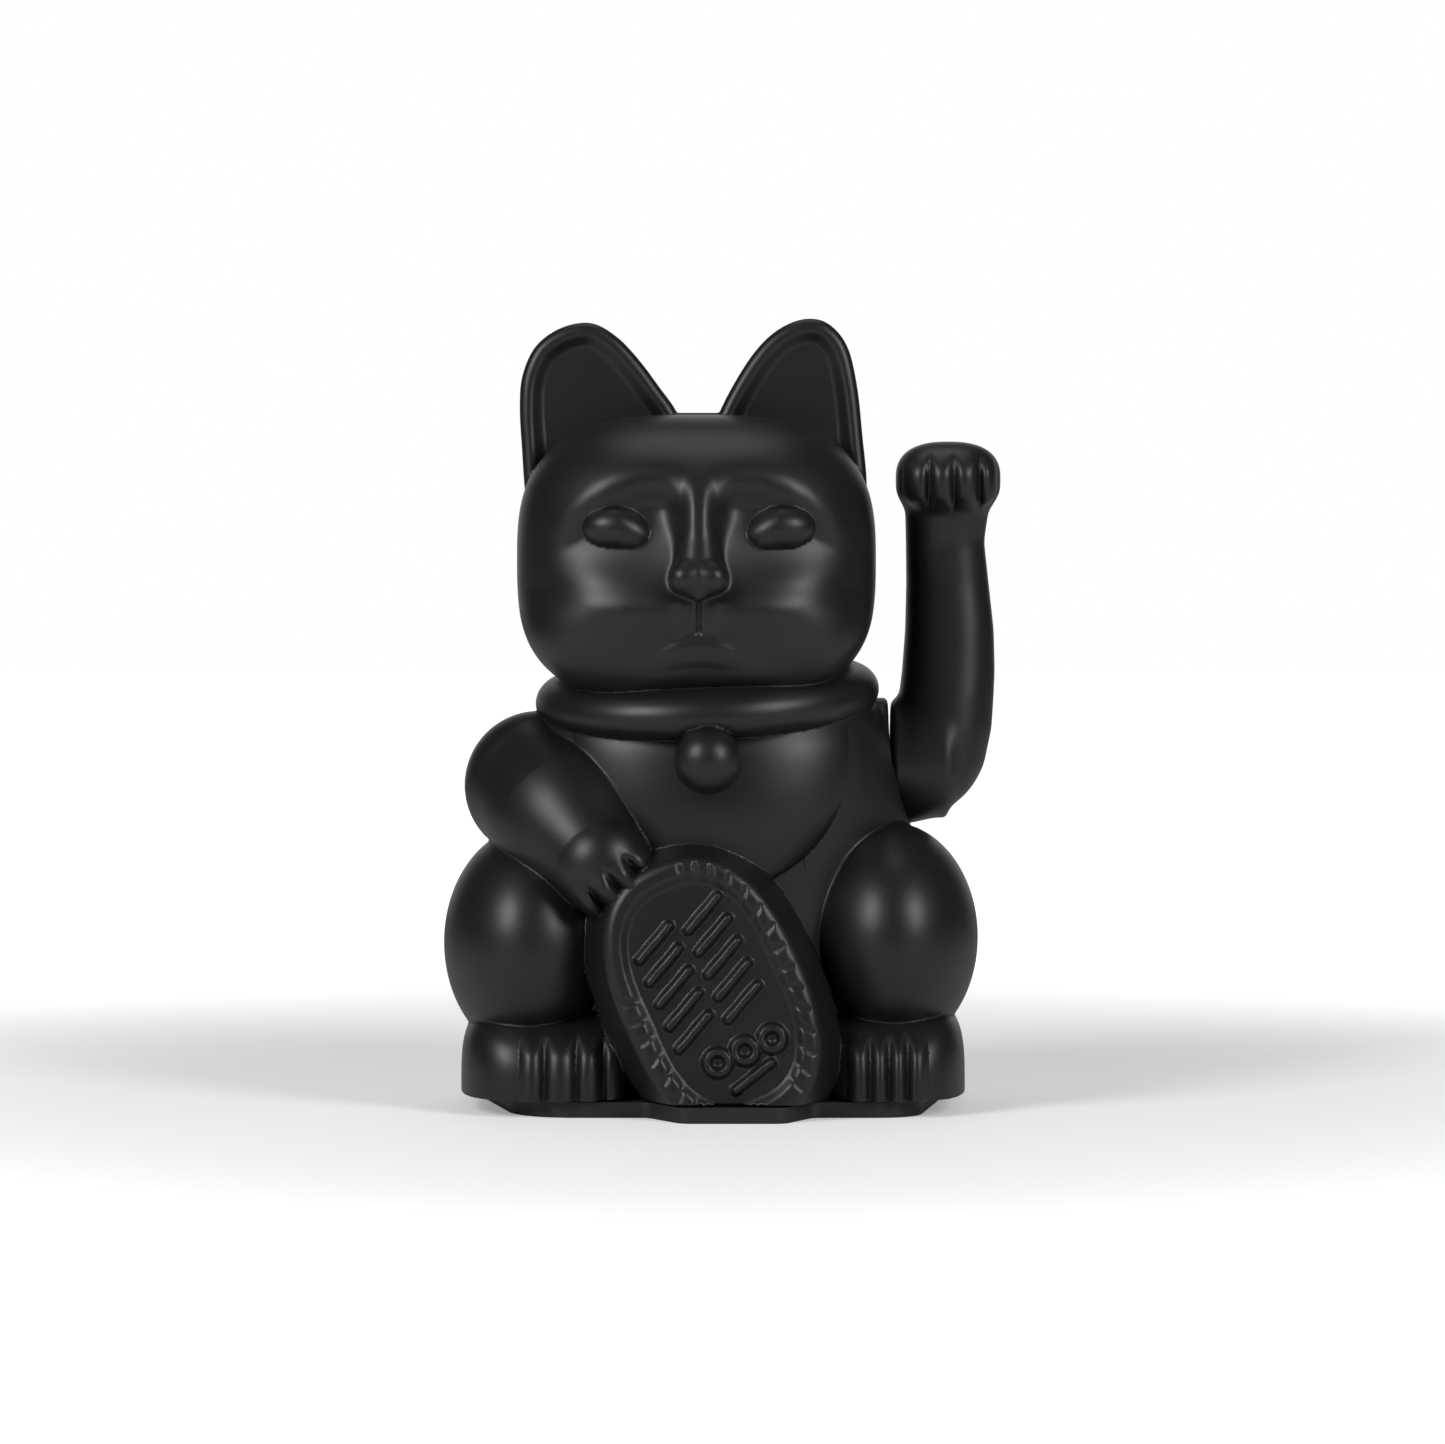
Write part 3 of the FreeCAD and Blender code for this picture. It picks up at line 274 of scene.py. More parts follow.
def skull(p):
    """The squarish head. It is fuller low in front, over the chin."""
    centre, radii = (np.array(v, "f4") for v in HEAD)
    q = p - centre
    far = np.sqrt((q * q).sum(1))
    m = 2.35 + 1.7 * ease(99, 85, p[:, 2]) * ease(4, -8, q[:, 1])
    q = np.abs(q) / radii
    g = ((q[:, 0] ** 2.9 + q[:, 2] ** 2.9) ** (m / 2.9) + q[:, 1] ** m) ** (1 / m)
    return far * (1 - 1 / np.maximum(g, 1e-3))


def head(p, detail):
    """The skull, and with detail the face, the ears and the bridge between them."""
    x, y, z = p.T
    d = skull(p)
    if not detail:
        return d
    near = (y < 4) & (d > -9) & (d < 14)
    front = ease(-3, -13, y[near])
    d[near] -= face_relief(x[near], z[near]) * front
    close = near & (np.abs(x - FACE_X) < 18) & (z > 90) & (z < 130)
    fillet = 0.9 + 2.4 * ease(103, 112, z[close]) * ease(129, 124, z[close])
    d[close] = smin(d[close], nose(p[close]), fillet)
    for side in (-1, 1):
        close = near & (np.abs(x - FACE_X - side * EYE_OUT) < 9)
        d[close] = smin(d[close], eye(p[close], side), 0.2)
    # the low bridge between the ears
    wide = np.interp(z, [124, 129.3, 131.9], [8.4, 5.6, 4.0])
    saddle = plate(np.maximum(np.abs(x + 2.7) - wide, z - 131.5), y - SEAM_Y, 5.0, 1.0)
    d = smin(d, saddle, 0.5)
    high = z > 104
    for points, low, top in ((LEFT_EAR, -45, 4), (RIGHT_EAR, -8, 38)):
        close = high & (x > low) & (x < top)
        d[close] = smin(d[close], ear(p[close], points), 0.25)
    return d


# ---------------------------------------------------------------- body

# Each row: z, centre x, half width, centre y, half depth.
TORSO = Profile([(0, 0.4, 43.8, 8.3, 33.6), (12, 0.4, 44.2, 8.3, 33.6), (26, 0.2, 42.4, 8.2, 33.6),
                 (40, 0, 40, 7, 32.4), (52, 0.2, 38.4, 4.8, 30.8), (60, 0, 37.2, 2.8, 29.6),
                 (69, -0.2, 35.3, 1.0, 28.4), (76, -0.6, 32.0, 0.4, 25.6), (84, -1.4, 26, 0, 22)], 3.0)
# The resting arm from shoulder to paw: x, y, z and radius.
LIMB = [(-32.8, -5, 60.6, 14.1), (-27.0, -16.0, 55.0, 12.6), (-20.4, -28.2, 47.2, 9.3)]


def superoval(u, v, half_u, half_v, n=2.45):
    """Roughly the distance to a squarish oval."""
    g = ((np.abs(u) / half_u) ** n + (np.abs(v) / half_v) ** n) ** (1 / n)
    return np.hypot(u, v) * (1 - 1 / np.maximum(g, 1e-3)) * 0.97


def stroke(x, z, points):
    """The distance to a line through some points."""
    d = np.full(x.shape, 1e9, "f4")
    for (x0, z0), (x1, z1) in zip(points, points[1:]):
        ex, ez = x1 - x0, z1 - z0
        t = np.clip(((x - x0) * ex + (z - z0) * ez) / (ex * ex + ez * ez), 0, 1)
        d = np.minimum(d, np.hypot(x - x0 - t * ex, z - z0 - t * ez))
    return d


COIN_AT = (1, -38.6, 24)
COIN_HALF = (16.8, 25.6)
# Each run of notches along the rim: from and to in degrees, and how many.
NOTCHES = ((-62, 76, 14), (168, 246, 8))
# The coin's plain pattern, across and along the coin: two columns of slanted bars, three rings and a bar.
BARS = [[(u, v + 0.13 * u), (u + 7.5, v + 0.13 * u + 3.6)]
        for v in (12.5, 8, 3.5, -1, -5.5) for u in (-10.5, 0)] + [[(-4, -18), (4, -16)]]
RINGS = [(u, -12, 2.0) for u in (-5, 0.5, 6)]


def coin_relief(u, v, rim):
    """The height of the coin's face over its field: rim is the distance inside its edge."""
    tube = np.full(u.shape, 9, "f4")
    for bar in BARS:
        tube = np.minimum(tube, stroke(u, v, bar))
    for middle_u, middle_v, radius in RINGS:
        tube = np.minimum(tube, np.abs(np.hypot(u - middle_u, v - middle_v) - radius))
    return 1.5 * ease(4.8, 2.6, rim) + 1.35 * ease(1.35, 0.25, tube)


def coin(p, detail):
    """The oval coin: a slab with a sloped edge, a raised rim with notches across it, and its pattern."""
    turn, lean = math.radians(24), math.radians(6)
    dx, dy, dz = p[:, 0] - COIN_AT[0], p[:, 1] - COIN_AT[1], p[:, 2] - COIN_AT[2]
    back = dy * math.cos(lean) - dz * math.sin(lean)
    up = dz * math.cos(lean) + dy * math.sin(lean)
    v = up * math.cos(turn) - dx * math.sin(turn)
    u = dx * math.cos(turn) + up * math.sin(turn)
    spread = 0.4 * np.clip(back, 0, 10)
    flat = superoval(u + 0.8, v, COIN_HALF[0] + spread, COIN_HALF[1] + spread)
    slab = plate(flat, back - 9, 9, 1.6)
    if not detail:
        return slab
    near = (back < 3.5) & (np.abs(slab) < 6)
    rim = -superoval(u[near] + 0.8, v[near], *COIN_HALF)
    h = coin_relief(u[near], v[near], rim)
    angle = np.degrees(np.arctan2(v[near] / COIN_HALF[1], (u[near] + 0.8) / COIN_HALF[0]))
    for low, high, count in NOTCHES:
        turned_angle = np.where(angle < low - 40, angle + 360, angle)
        step = (high - low) / count
        place = (turned_angle - low) / step
        off = (place - np.round(place)) * step * 0.38
        within = (place > -0.4) & (place < count + 0.4)
        notch = bump(off, 0, 0.6) * ease(-1.0, 1.0, rim) * ease(4.4, 2.6, rim)
        h -= np.where(within, 0.5 * notch, 0)
    slab[near] = np.maximum(slab[near], -back[near] + (1.5 - h) * 0.9)
    return slab


def ridges(t, edges, high, deep):
    """Soft ridges side by side, with a groove at each inner edge."""
    ridge = sum(np.clip(1 - ((t - (a + b) / 2) / ((b - a) / 2)) ** 2, 0, 1) for a, b in zip(edges, edges[1:]))
    return high * ridge - deep * sum(bump(t, edge, 0.7) for edge in edges[1:-1])


# The x of each toe's edges.
LEFT_TOES = (-35.6, -30.9, -25.0, -20.0, -14.6)
RIGHT_TOES = (25.4, 29.7, 33.2, 36.6, 40.4)


def foot(p, x_mid, half, toes, detail):
    """A foot: a rounded block with its toes in front."""
    x, y, z = p.T
    d = rounded_form(p, (x_mid, -5, 2), (half, 28, 18.4), 4.2, 3.0)
    if detail:
        near = (y < -18) & (np.abs(d) < 5)
        fade = ease(16.5, 11, z[near]) * ease(-2, 4, z[near]) * ease(-20, -27, y[near])
        d[near] -= ridges(x[near], toes, 1.3, 0.45) * fade
    return d


def local(p, d, low, high, made, k):
    """Joins a form to d only where it can matter: inside a box."""
    close = ((p > np.array(low, "f4")) & (p < np.array(high, "f4"))).all(1)
    d[close] = smin(d[close], made(p[close]), k)
    return d


def resting_arm(p, detail):
    """The arm, with four fingers over the coin's edge."""
    d = chain(p, LIMB, 7.0)
    if detail:
        along, across = np.array((0.63, 0, -0.77)), np.array((0.772, 0, 0.636))
        near = (p[:, 1] < -20) & (p[:, 2] < 62)
        q = p[near] - np.array(LIMB[-1][:3], "f4")
        s, t = q @ along, q @ across
        d[near] -= ridges(t, (-8.8, -4.4, 0, 4.4, 8.8), 1.5, 0.9) * ease(0, 5, s) * ease(2, -4, q[:, 1])
    return d


def bib(p, d):
    """The belly pushes forward inside a crisp outline: straight at the sides, round below."""
    x, y, z = p.T
    near = (y < 0) & (z > 34) & (z < 84) & (np.abs(d) < 12)
    low = np.maximum(66 - z[near], 0)
    e = (x[near] / 25.7) ** 2 + (low / 24.6) ** 2
    bulge = 5.0 * np.clip(1 - e, 0, 1) ** 0.55 * ease(80, 50, z[near])
    d[near] -= bulge * 0.85 * ease(-2, -12, y[near])
    return d


def body(p, detail=True):
    """The whole outer form of the shells."""
    x, y, z = p.T
    d = bib(p, lofted(p, TORSO, -20, 84, 4))
    # haunches, feet, resting arm, collar, bell, coin and head
    d = local(p, d, (-60, -45, 3), (0, 30, 62), lambda q: ellipsoid(q, (-33.7, -8, 31), (17.0, 25.2, 22)), 0.6)
    d = local(p, d, (5, -45, 3), (60, 30, 62), lambda q: ellipsoid(q, (34.2, -8, 32), (16.5, 25.2, 21.6)), 0.6)
    d = local(p, d, (-60, -45, -9), (0, 34, 26), lambda q: foot(q, -29.6, 17.8, LEFT_TOES, detail), 0.35)
    d = local(p, d, (5, -45, -9), (60, 34, 26), lambda q: foot(q, 33.4, 14.8, RIGHT_TOES, detail), 0.35)
    d = local(p, d, (-60, -48, 26), (4, 22, 84), lambda q: resting_arm(q, detail), 0.4)
    d = local(p, d, (-45, -45, 60), (45, 40, 95),
              lambda q: torus(q, (-0.7, -1.2, 77.6), (27.4, 27.0), (5.3, 4.7), 5.5, 2.4), 0.3)
    if detail:
        d = local(p, d, (-12, -48, 54), (12, -20, 80), bell, 0.15)
    d = local(p, d, (-30, -50, -9), (30, -12, 60), lambda q: coin(q, detail), 0.3)
    up = z > 70
    d[up] = smin(d[up], head(p[up], detail), 0.25)
    return d


def bell(p):
    """A plain ball under the collar."""
    return sphere(p, (-0.5, -32.4, 66.5), 6.3)


def hollow(p):
    """The room inside: the plain form drawn in by the wall, and further in behind the face and the coin."""
    x, y, z = p.T
    behind_face = ease(-4, -16, y) * ease(70, 80, z) * ease(128, 120, z)
    behind_coin = ease(-27, -33, y) * ease(62, 55, z)
    return body(p, detail=False) + WALL + 6.5 * behind_face + 3.0 * behind_coin


def from_axle(p):
    """The distance to the line that the waving arm turns about."""
    return np.hypot(p[:, 1] - PIVOT_Y, p[:, 2] - PIVOT_Z)


def recess(p):
    """The round flat in the shoulder that the arm turns in, and the hole for its axle."""
    x = p[:, 0]
    r = from_axle(p)
    dish = np.maximum(r - RECESS_R, RECESS_X - x)
    hole = np.maximum(np.maximum(r - 2.3, 28 - x), x - 40)
    return np.minimum(dish, hole)


def shell(p, side):
    """One of the two body shells: side is -1 for the front one and 1 for the rear one."""
    x, y, z = p.T
    pad = plate(from_axle(p) - PAD_R, x - 30, 4, 1.0)
    outer = smin(body(p), pad, 0.8)
    seat = np.maximum(from_axle(p) - 12, 31.8 - x)
    inner = np.maximum(hollow(p), -seat)
    d = smax(outer, -inner, 0.4)
    d = smax(d, -recess(p), 0.3)
    d = smax(d, side * (SEAM_Y - y) + SEAM_GAP, 0.35)
    return smax(d, FOOT_Z - z, 0.3)


# ---------------------------------------------------------------- waving arm

# Each row: z, centre x, half width, centre y, half depth.
ARM = Profile([(52.6, 36.6, 2.4, 5, 4.5), (55.8, 39.9, 5.5, 5, 8.2), (57.3, 41.2, 6.8, 5, 9.2),
               (60.4, 42.5, 8.1, 5, 10.2), (63.9, 43.4, 9.0, 5, 10.6), (71.1, 44.4, 9.5, 5, 10.4),
               (77.4, 45.2, 9.1, 5, 9.8), (82, 45.6, 8.9, 5, 9.2), (90, 45.8, 8.5, 5, 8.4),
               (99, 45.4, 7.9, 5, 7.7),
               (107, 44.9, 7.5, 4.6, 7.2), (113, 45.2, 8.0, 3.2, 7.8), (118, 45.4, 9.2, 1.6, 8.8)], 1.3)
# The x of each finger's edges.
FINGERS = (36.2, 41.3, 46.1, 51.0, 54.6)


def hub(p):
    """The round end that turns in the shoulder's seat."""
    return plate(from_axle(p) - HUB_R, p[:, 0] - 40, 5.5, 1.2)


def arm_outer(p, detail=True):
    """The whole outer form of the arm, cut flat where it faces the shoulder."""
    x, y, z = p.T
    d = lofted(p, ARM, 53.2, 118, 2.2, 2.3)
    d = smin(d, hub(p), 2.6)
    paw = rounded_form(p, (45.3, 0.6, 119.0), (10.0, 9.8, 7.0), 2.5, 2.2)
    d = smin(d, paw, 2.0)
    if detail:
        near = (z > 108) & (y < 0) & (np.abs(d) < 5)
        fade = ease(-2, -6, y[near]) * ease(112, 115.5, z[near]) * ease(124.5, 119, z[near])
        d[near] -= ridges(x[near], FINGERS, 1.1, 0.6) * fade
    return smax(d, 34.5 - x, 0.4)


def arm_half(p, side):
    """One half of the hollow arm, with the boss that holds the axle's end: side is -1 for the front half."""
    x, y, z = p.T
    boss = np.maximum(from_axle(p) - 3.4, x - 47)
    inner = np.maximum(arm_outer(p, detail=False) + ARM_WALL, 36 - x)
    d = smax(arm_outer(p), -np.maximum(inner, -boss), 0.4)
    bore = np.maximum(from_axle(p) - 1.55, x - 44.2)
    d = smax(d, -bore, 0.2)
    return smax(d, side * (SEAM_Y - y) + ARM_SEAM_GAP, 0.3)


# ---------------------------------------------------------------- meshing

def sampled(field, low, high, cell):
    """The field on a grid, worked out finely only in the blocks that its surface may pass."""
    block = 4
    low, high = np.array(low, float), np.array(high, float)
    count = np.ceil((high - low) / (cell * block)).astype(int)
    size = cell * block
    middles = np.stack(np.meshgrid(*(low[i] + (np.arange(count[i]) + 0.5) * size - cell / 2 for i in range(3)),
                                   indexing="ij"), -1).reshape(-1, 3).astype("f4")
    coarse = field(middles)
    grid = coarse.reshape(count).repeat(block, 0).repeat(block, 1).repeat(block, 2)
    active = np.flatnonzero(np.abs(coarse) < size * 0.87 * 1.6 + 0.4)
    offset = np.stack(np.meshgrid(*[np.arange(block)] * 3, indexing="ij"), -1).reshape(-1, 3)
    corner = np.stack(np.unravel_index(active, count), 1) * block
    for part in np.array_split(corner, max(1, len(corner) // 12000)):
        where = (part[:, None, :] + offset[None]).reshape(-1, 3)
        grid[tuple(where.T)] = field((low + where * cell).astype("f4"))
    return grid, low


def surface(grid, low, cell):
    """Surface nets: one vertex in each cell that the surface crosses, and a quad over each crossed edge."""
    inside = grid < 0
    n = np.array(grid.shape) - 1
    corners = [(i, j, k) for i in (0, 1) for j in (0, 1) for k in (0, 1)]
    total = sum(inside[i:n[0] + i, j:n[1] + j, k:n[2] + k].astype("i1") for i, j, k in corners)
    cells = np.argwhere((total > 0) & (total < 8))
    index = np.full(n, -1, "i4")
    index[tuple(cells.T)] = np.arange(len(cells))
    value = {c: grid[tuple((cells + np.array(c)).T)] for c in corners}
    sums = np.zeros((len(cells), 3))
    hits = np.zeros(len(cells))
    for a in corners:
        for axis in range(3):
            if a[axis]:
                continue
            # b is the other end of this edge of the cell
            b = tuple(1 if i == axis else a[i] for i in range(3))
            va, vb = value[a], value[b]
            crossed = (va < 0) != (vb < 0)
            t = np.where(crossed, va / np.where(crossed, va - vb, 1), 0)
            point = np.array(a, float) + t[:, None] * (np.array(b) - np.array(a))
            sums += point * crossed[:, None]
            hits += crossed
    points = low + (cells + sums / hits[:, None]) * cell
    quads = []
    for axis in range(3):
        u, v = (axis + 1) % 3, (axis + 2) % 3
        a = [slice(1, -1)] * 3
        b = [slice(1, -1)] * 3
        a[axis], b[axis] = slice(0, -1), slice(1, None)
        first, second = inside[tuple(a)], inside[tuple(b)]
        edges = np.argwhere(first != second)
        start = first[tuple(edges.T)]
        base = edges + 1
        base[:, axis] -= 1
        around = []
        for du, dv in ((-1, -1), (0, -1), (0, 0), (-1, 0)):
            at = base.copy()
            at[:, u] += du
            at[:, v] += dv
            around.append(index[tuple(at.T)])
        quad = np.stack(around, 1)
        quads.append(np.where(start[:, None], quad, quad[:, ::-1]))
    return points, np.concatenate(quads)


def slope(field, p, step):
    """The field's value and gradient at some points."""
    value = field(p)
    gradient = np.empty_like(p)
    for axis in range(3):
        shift = np.zeros(3, "f4")
        shift[axis] = step
        gradient[:, axis] = (field(p + shift) - field(p - shift)) / (2 * step)
    return value, gradient


def settled(field, points, cell):
    """Moves the vertices onto the surface."""
    p = points.astype("f4")
    for _ in range(2):
        value, gradient = slope(field, p, 0.08)
        size = np.maximum((gradient ** 2).sum(1), 0.05)
        move = -(value / size)[:, None] * gradient
        far = np.sqrt((move ** 2).sum(1))
        move *= np.minimum(1, 0.6 * cell / np.maximum(far, 1e-6))[:, None]
        p = p + move
    return p


def sculpt(name, field, low, high, cell, limit):
    """Makes a mesh object of a field, with no more triangles than the limit and the field's own normals."""
    grid, corner = sampled(field, low, high, cell)
    points, quads = surface(grid, corner, cell)
    points = settled(field, points, cell)
    mesh = bpy.data.meshes.new(name)
    mesh.vertices.add(len(points))
    mesh.vertices.foreach_set("co", (points * MM).astype("f4").ravel())
    mesh.loops.add(quads.size)
    mesh.loops.foreach_set("vertex_index", quads.ravel().astype("i4"))
    mesh.polygons.add(len(quads))
    mesh.polygons.foreach_set("loop_start", np.arange(0, quads.size, 4, dtype="i4"))
    mesh.update()
    mesh.validate()
    made = bpy.data.objects.new(name, mesh)
    bpy.context.scene.collection.objects.link(made)
    if 2 * len(quads) > limit:
        decimate = made.modifiers.new("fewer", "DECIMATE")
        decimate.ratio = limit / (2 * len(quads))
        bpy.context.view_layer.update()
        fewer = bpy.data.meshes.new_from_object(made.evaluated_get(bpy.context.evaluated_depsgraph_get()))
        made.modifiers.clear()
        made.data = fewer
        bpy.data.meshes.remove(mesh)
        mesh = fewer
        mesh.name = name
    at = np.empty(len(mesh.vertices) * 3, "f4")
    mesh.vertices.foreach_get("co", at)
    _, gradient = slope(field, at.reshape(-1, 3) / MM, 0.12)
    normal = gradient / np.maximum(np.linalg.norm(gradient, axis=1), 1e-6)[:, None]
    mesh.polygons.foreach_set("use_smooth", np.ones(len(mesh.polygons), bool))
    mesh.normals_split_custom_set_from_vertices(normal.tolist())
    return made


# ---------------------------------------------------------------- build

front = sculpt("front_shell_skin", lambda p: shell(p, -1), (-54, -46, 0), (54, 8, 152), CELL, TRIANGLES)
rear = sculpt("rear_shell_skin", lambda p: shell(p, 1), (-54, 2, 0), (54, 46, 152), CELL, TRIANGLES)
arm_f = sculpt("arm_front_skin", lambda p: arm_half(p, -1), (32, -14, 50), (58, 8, 130), CELL, TRIANGLES // 2)
arm_r = sculpt("arm_rear_skin", lambda p: arm_half(p, 1), (32, 2, 50), (58, 18, 130), CELL, TRIANGLES // 2)
for piece, part, node in ((front, "cat_body", "front_shell"), (rear, "cat_body", "rear_shell"),
                          (arm_f, "waving_arm", "arm_front_half"), (arm_r, "waving_arm", "arm_rear_half")):
    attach(piece, part)
    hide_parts(node)


# ---------------------------------------------------------------- materials

# Each slot's colour, roughness, metal, grain strength, grain size in mm, and the pitch in mm of any turned or
# wound lines with the axis that they are stacked on.
LOOKS = {
    "shell": ((0.007, 0.007, 0.0072), 0.42, 0, 0.35, 0.28, None),
    "base": ((0.012, 0.012, 0.0125), 0.52, 0, 0.6, 0.4, None),
    "inner_plastic": ((0.70, 0.70, 0.66), 0.45, 0, 0.3, 0.5, None),
    "bobbin": ((0.78, 0.73, 0.60), 0.40, 0, 0.3, 0.6, None),
    "copper_wire": ((0.60, 0.20, 0.06), 0.30, 1, 0.9, 0.3, (0.35, "Z")),
    "steel": ((0.56, 0.56, 0.58), 0.28, 1, 0.5, 0.3, (0.3, "X")),
    "zinc_steel": ((0.60, 0.62, 0.64), 0.36, 1, 0.4, 0.5, None),
    "nickel_contact": ((0.72, 0.70, 0.66), 0.24, 1, 0.2, 0.6, None),
    "magnet": ((0.66, 0.66, 0.67), 0.18, 1, 0.15, 0.8, None),
    "board": ((0.30, 0.17, 0.06), 0.50, 0, 0.5, 0.7, None),
    "component_black": ((0.02, 0.02, 0.022), 0.50, 0, 0.5, 0.3, None),
    "capacitor_can": ((0.02, 0.05, 0.14), 0.30, 0, 0.15, 0.8, None),
    "resistor_body": ((0.66, 0.50, 0.32), 0.35, 0, 0.2, 0.5, None),
    "cell_jacket": ((0.05, 0.16, 0.24), 0.32, 0.4, 0.15, 0.8, None),
    "red_insulation": ((0.50, 0.02, 0.015), 0.40, 0, 0.2, 0.5, None),
    "black_insulation": ((0.015, 0.015, 0.015), 0.40, 0, 0.2, 0.5, None),
    "switch_body": ((0.03, 0.03, 0.033), 0.50, 0, 0.5, 0.3, None),
}


def material(name, colour, rough, metal, grain, grain_size, lines):
    """A finish whose colour and roughness drift a little, with a fine grain or fine lines in relief."""
    made = bpy.data.materials.new(name)
    made.use_nodes = True
    tree = made.node_tree
    shader = tree.nodes["Principled BSDF"]
    shader.inputs["Metallic"].default_value = metal
    place = tree.nodes.new("ShaderNodeTexCoord")
    if lines:
        fine = tree.nodes.new("ShaderNodeTexWave")
        pitch, fine.bands_direction = lines
        # a wave texture's bands repeat every pi / 10 units at scale 1
        fine.inputs["Scale"].default_value = math.pi / (10 * pitch * MM)
        fine.inputs["Distortion"].default_value = 0.6
    else:
        fine = tree.nodes.new("ShaderNodeTexNoise")
        fine.inputs["Scale"].default_value = 1 / (grain_size * MM)
        fine.inputs["Detail"].default_value = 3
    tree.links.new(place.outputs["Object"], fine.inputs["Vector"])
    bumps = tree.nodes.new("ShaderNodeBump")
    bumps.inputs["Strength"].default_value = grain
    bumps.inputs["Distance"].default_value = 0.02 * MM
    tree.links.new(fine.outputs["Fac"], bumps.inputs["Height"])
    tree.links.new(bumps.outputs["Normal"], shader.inputs["Normal"])
    wide = tree.nodes.new("ShaderNodeTexNoise")
    wide.inputs["Scale"].default_value = 60
    tree.links.new(place.outputs["Object"], wide.inputs["Vector"])
    rough_range = tree.nodes.new("ShaderNodeMapRange")
    rough_range.inputs["To Min"].default_value = rough - 0.03
    rough_range.inputs["To Max"].default_value = rough + 0.03
    tree.links.new(wide.outputs["Fac"], rough_range.inputs["Value"])
    tree.links.new(rough_range.outputs["Result"], shader.inputs["Roughness"])
    ramp = tree.nodes.new("ShaderNodeValToRGB")
    for element, share in zip(ramp.color_ramp.elements, (0.9, 1.1)):
        element.color = (*(share * c for c in colour), 1)
    tree.links.new(wide.outputs["Fac"], ramp.inputs["Fac"])
    tree.links.new(ramp.outputs["Color"], shader.inputs["Base Color"])
    return made


finishes = {slot: material(slot + "_finish", *look) for slot, look in LOOKS.items()}
finishes["arm_shell"] = finishes["shell"]
for piece in (front, rear, arm_f, arm_r):
    piece.data.materials.append(finishes["shell"])
slot_of = {row["node"]: row["material_slot"] for row in frame["record"]["subparts"]}
for name, node in frame["nodes"].items():
    for slot in node.material_slots:
        slot.material = finishes[slot_of[name]]


# ---------------------------------------------------------------- studio

def area(name, at, to, wide, high, power):
    """A soft box that faces the point `to`."""
    light = bpy.data.lights.new(name, "AREA")
    light.energy = power
    light.shape = "RECTANGLE"
    light.size = wide
    light.size_y = high
    made = bpy.data.objects.new(name, light)
    made.location = at
    made.rotation_euler = (Vector(to) - Vector(at)).to_track_quat("-Z", "Y").to_euler()
    bpy.context.scene.collection.objects.link(made)


def span(tree, value, low, high, to_low, to_high):
    """A smooth step from one pair of values to another."""
    made = tree.nodes.new("ShaderNodeMapRange")
    made.interpolation_type = "SMOOTHSTEP"
    for name, number in zip(("From Min", "From Max", "To Min", "To Max"), (low, high, to_low, to_high)):
        made.inputs[name].default_value = number
    tree.links.new(value, made.inputs["Value"])
    return made.outputs["Result"]


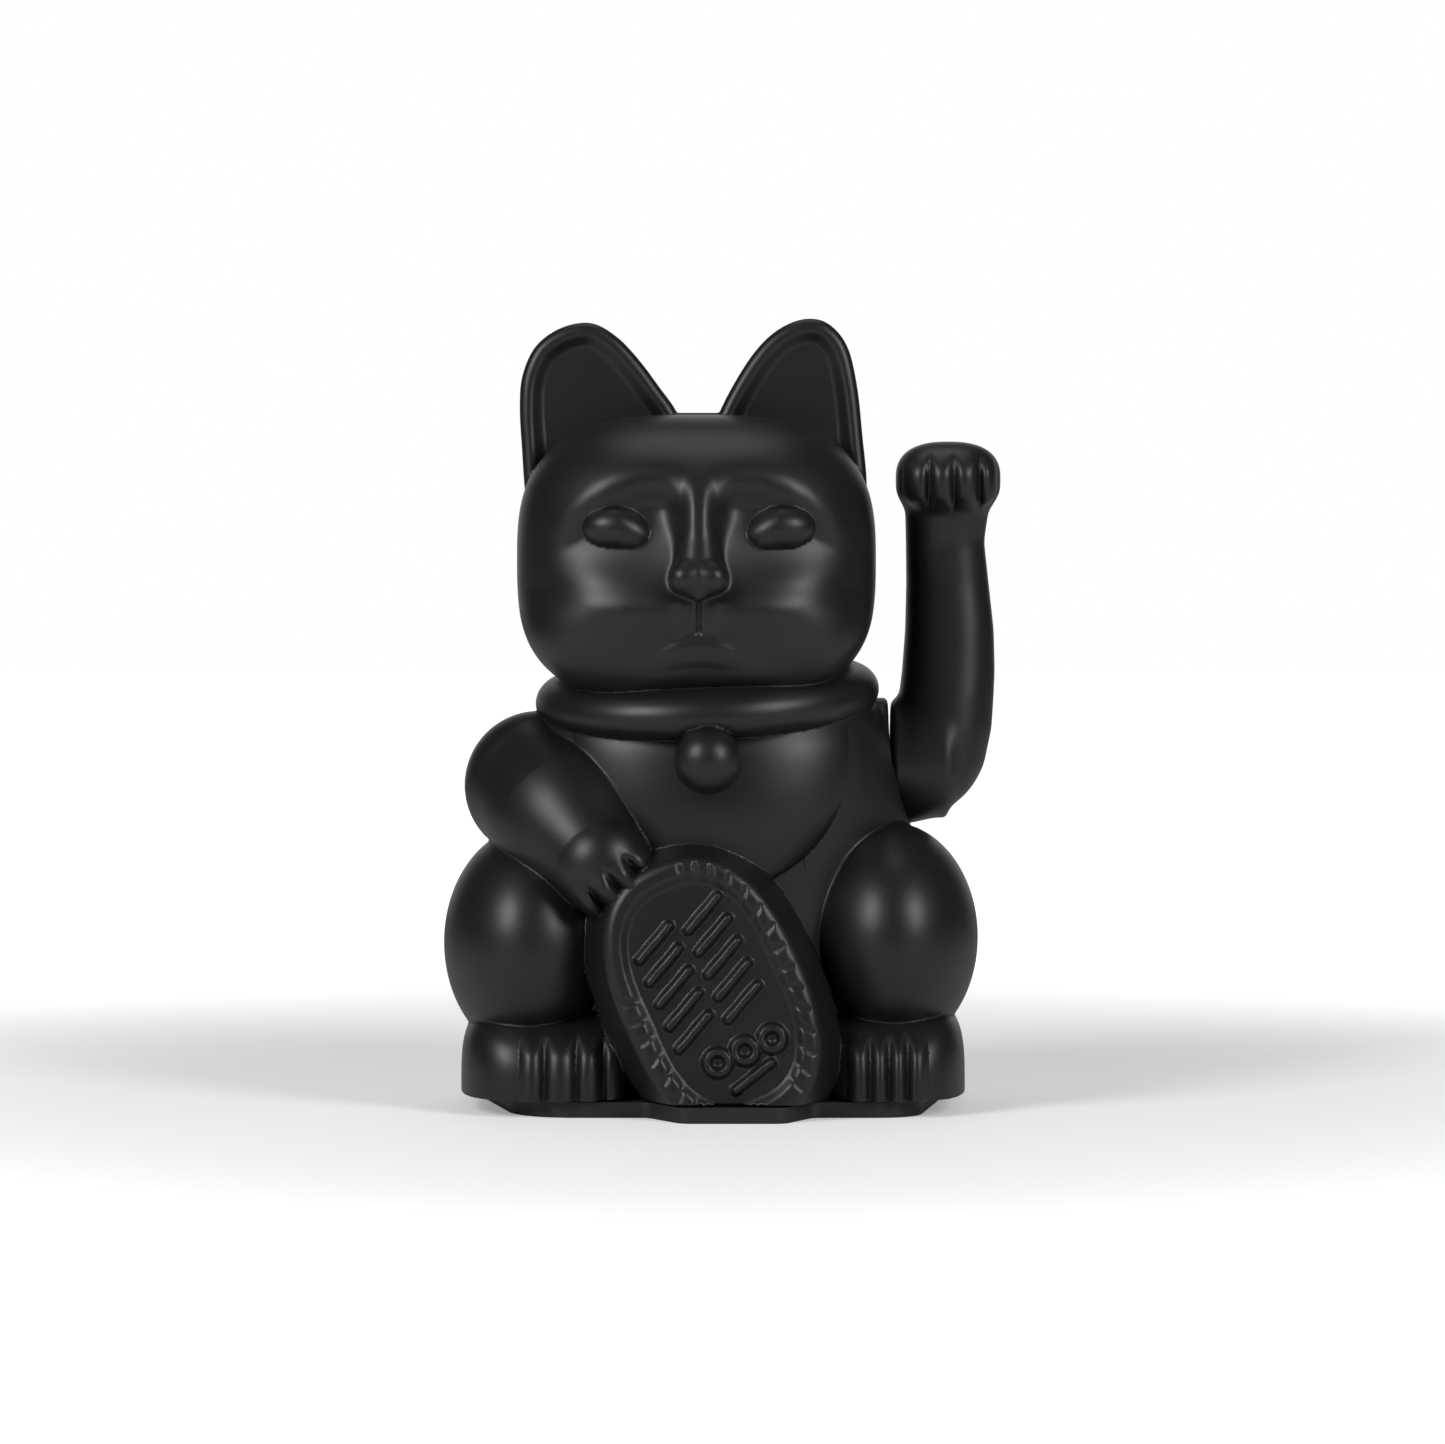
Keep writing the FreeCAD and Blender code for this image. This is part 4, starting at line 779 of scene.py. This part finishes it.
def studio():
    """Soft boxes at the sides and above, in a room that is white to look at but lights the cat only dimly. The
    floor's glow is painted light, dimmer around the cat as painted shade.
    """
    world = bpy.data.worlds.new("studio")
    world.use_nodes = True
    tree = world.node_tree
    back = tree.nodes["Background"]
    back.inputs["Color"].default_value = (1, 1, 1, 1)
    place = tree.nodes.new("ShaderNodeTexCoord")
    split = tree.nodes.new("ShaderNodeSeparateXYZ")
    tree.links.new(place.outputs["Generated"], split.inputs["Vector"])
    behind = span(tree, split.outputs["Y"], 0.80, 0.97, 0.05, 1.0)
    seen = tree.nodes.new("ShaderNodeLightPath").outputs["Is Camera Ray"]
    brightness = span(tree, seen, 0, 1, 0.05, 1.0)
    tree.links.new(behind, brightness.node.inputs["To Min"])
    tree.links.new(brightness, back.inputs["Strength"])
    bpy.context.scene.world = world

    mesh = bpy.data.meshes.new("floor")
    mesh.from_pydata([(-3, -3, 0), (3, -3, 0), (3, 3, 0), (-3, 3, 0)], [], [(0, 1, 2, 3)])
    floor = bpy.data.objects.new("floor", mesh)
    bpy.context.scene.collection.objects.link(floor)
    pale = bpy.data.materials.new("pale_floor")
    pale.use_nodes = True
    tree = pale.node_tree
    shader = tree.nodes["Principled BSDF"]
    shader.inputs["Base Color"].default_value = (0.8, 0.8, 0.8, 1)
    shader.inputs["Roughness"].default_value = 0.9
    shader.inputs["Emission Color"].default_value = (1, 1, 1, 1)
    # The floor glows white to the camera and only faintly to the cat: painted light. The glow is weaker close
    # to the cat than further out, which paints the floor darker around it: painted shade.
    place = tree.nodes.new("ShaderNodeTexCoord")
    nearness = tree.nodes.new("ShaderNodeTexGradient")
    nearness.gradient_type = "SPHERICAL"
    tree.links.new(place.outputs["Object"], nearness.inputs["Vector"])
    painted_glow = span(tree, nearness.outputs["Fac"], 0.90, 0.60, 0.30, 1.0)
    seen = tree.nodes.new("ShaderNodeLightPath").outputs["Is Camera Ray"]
    strength = span(tree, seen, 0, 1, 0.04, 1.0)
    tree.links.new(painted_glow, strength.node.inputs["To Max"])
    tree.links.new(strength, shader.inputs["Emission Strength"])
    mesh.materials.append(pale)
    area("key_left", (-0.50, -0.46, 0.46), (0, 0, 0.09), 0.26, 0.34, 3.3)
    area("key_right", (0.50, -0.46, 0.42), (0, 0, 0.09), 0.22, 0.34, 2.6)
    area("top", (0, 0.16, 0.8), (0, 0, 0.1), 0.42, 0.42, 0.7)


studio()

# A long lens a metre in front of the cat, looking slightly down.
camera_data = bpy.data.cameras.new("camera")
camera = bpy.data.objects.new("camera", camera_data)
bpy.context.scene.collection.objects.link(camera)
camera_data.lens = 130.3
camera_data.sensor_width = 36
camera.location = (0.0022, -1.0, 0.110)
target = Vector((0.0022, 0, 0.0724))
camera.rotation_euler = (target - camera.location).to_track_quat("-Z", "Y").to_euler()
bpy.context.scene.camera = camera
bpy.context.scene.view_settings.view_transform = "Standard"
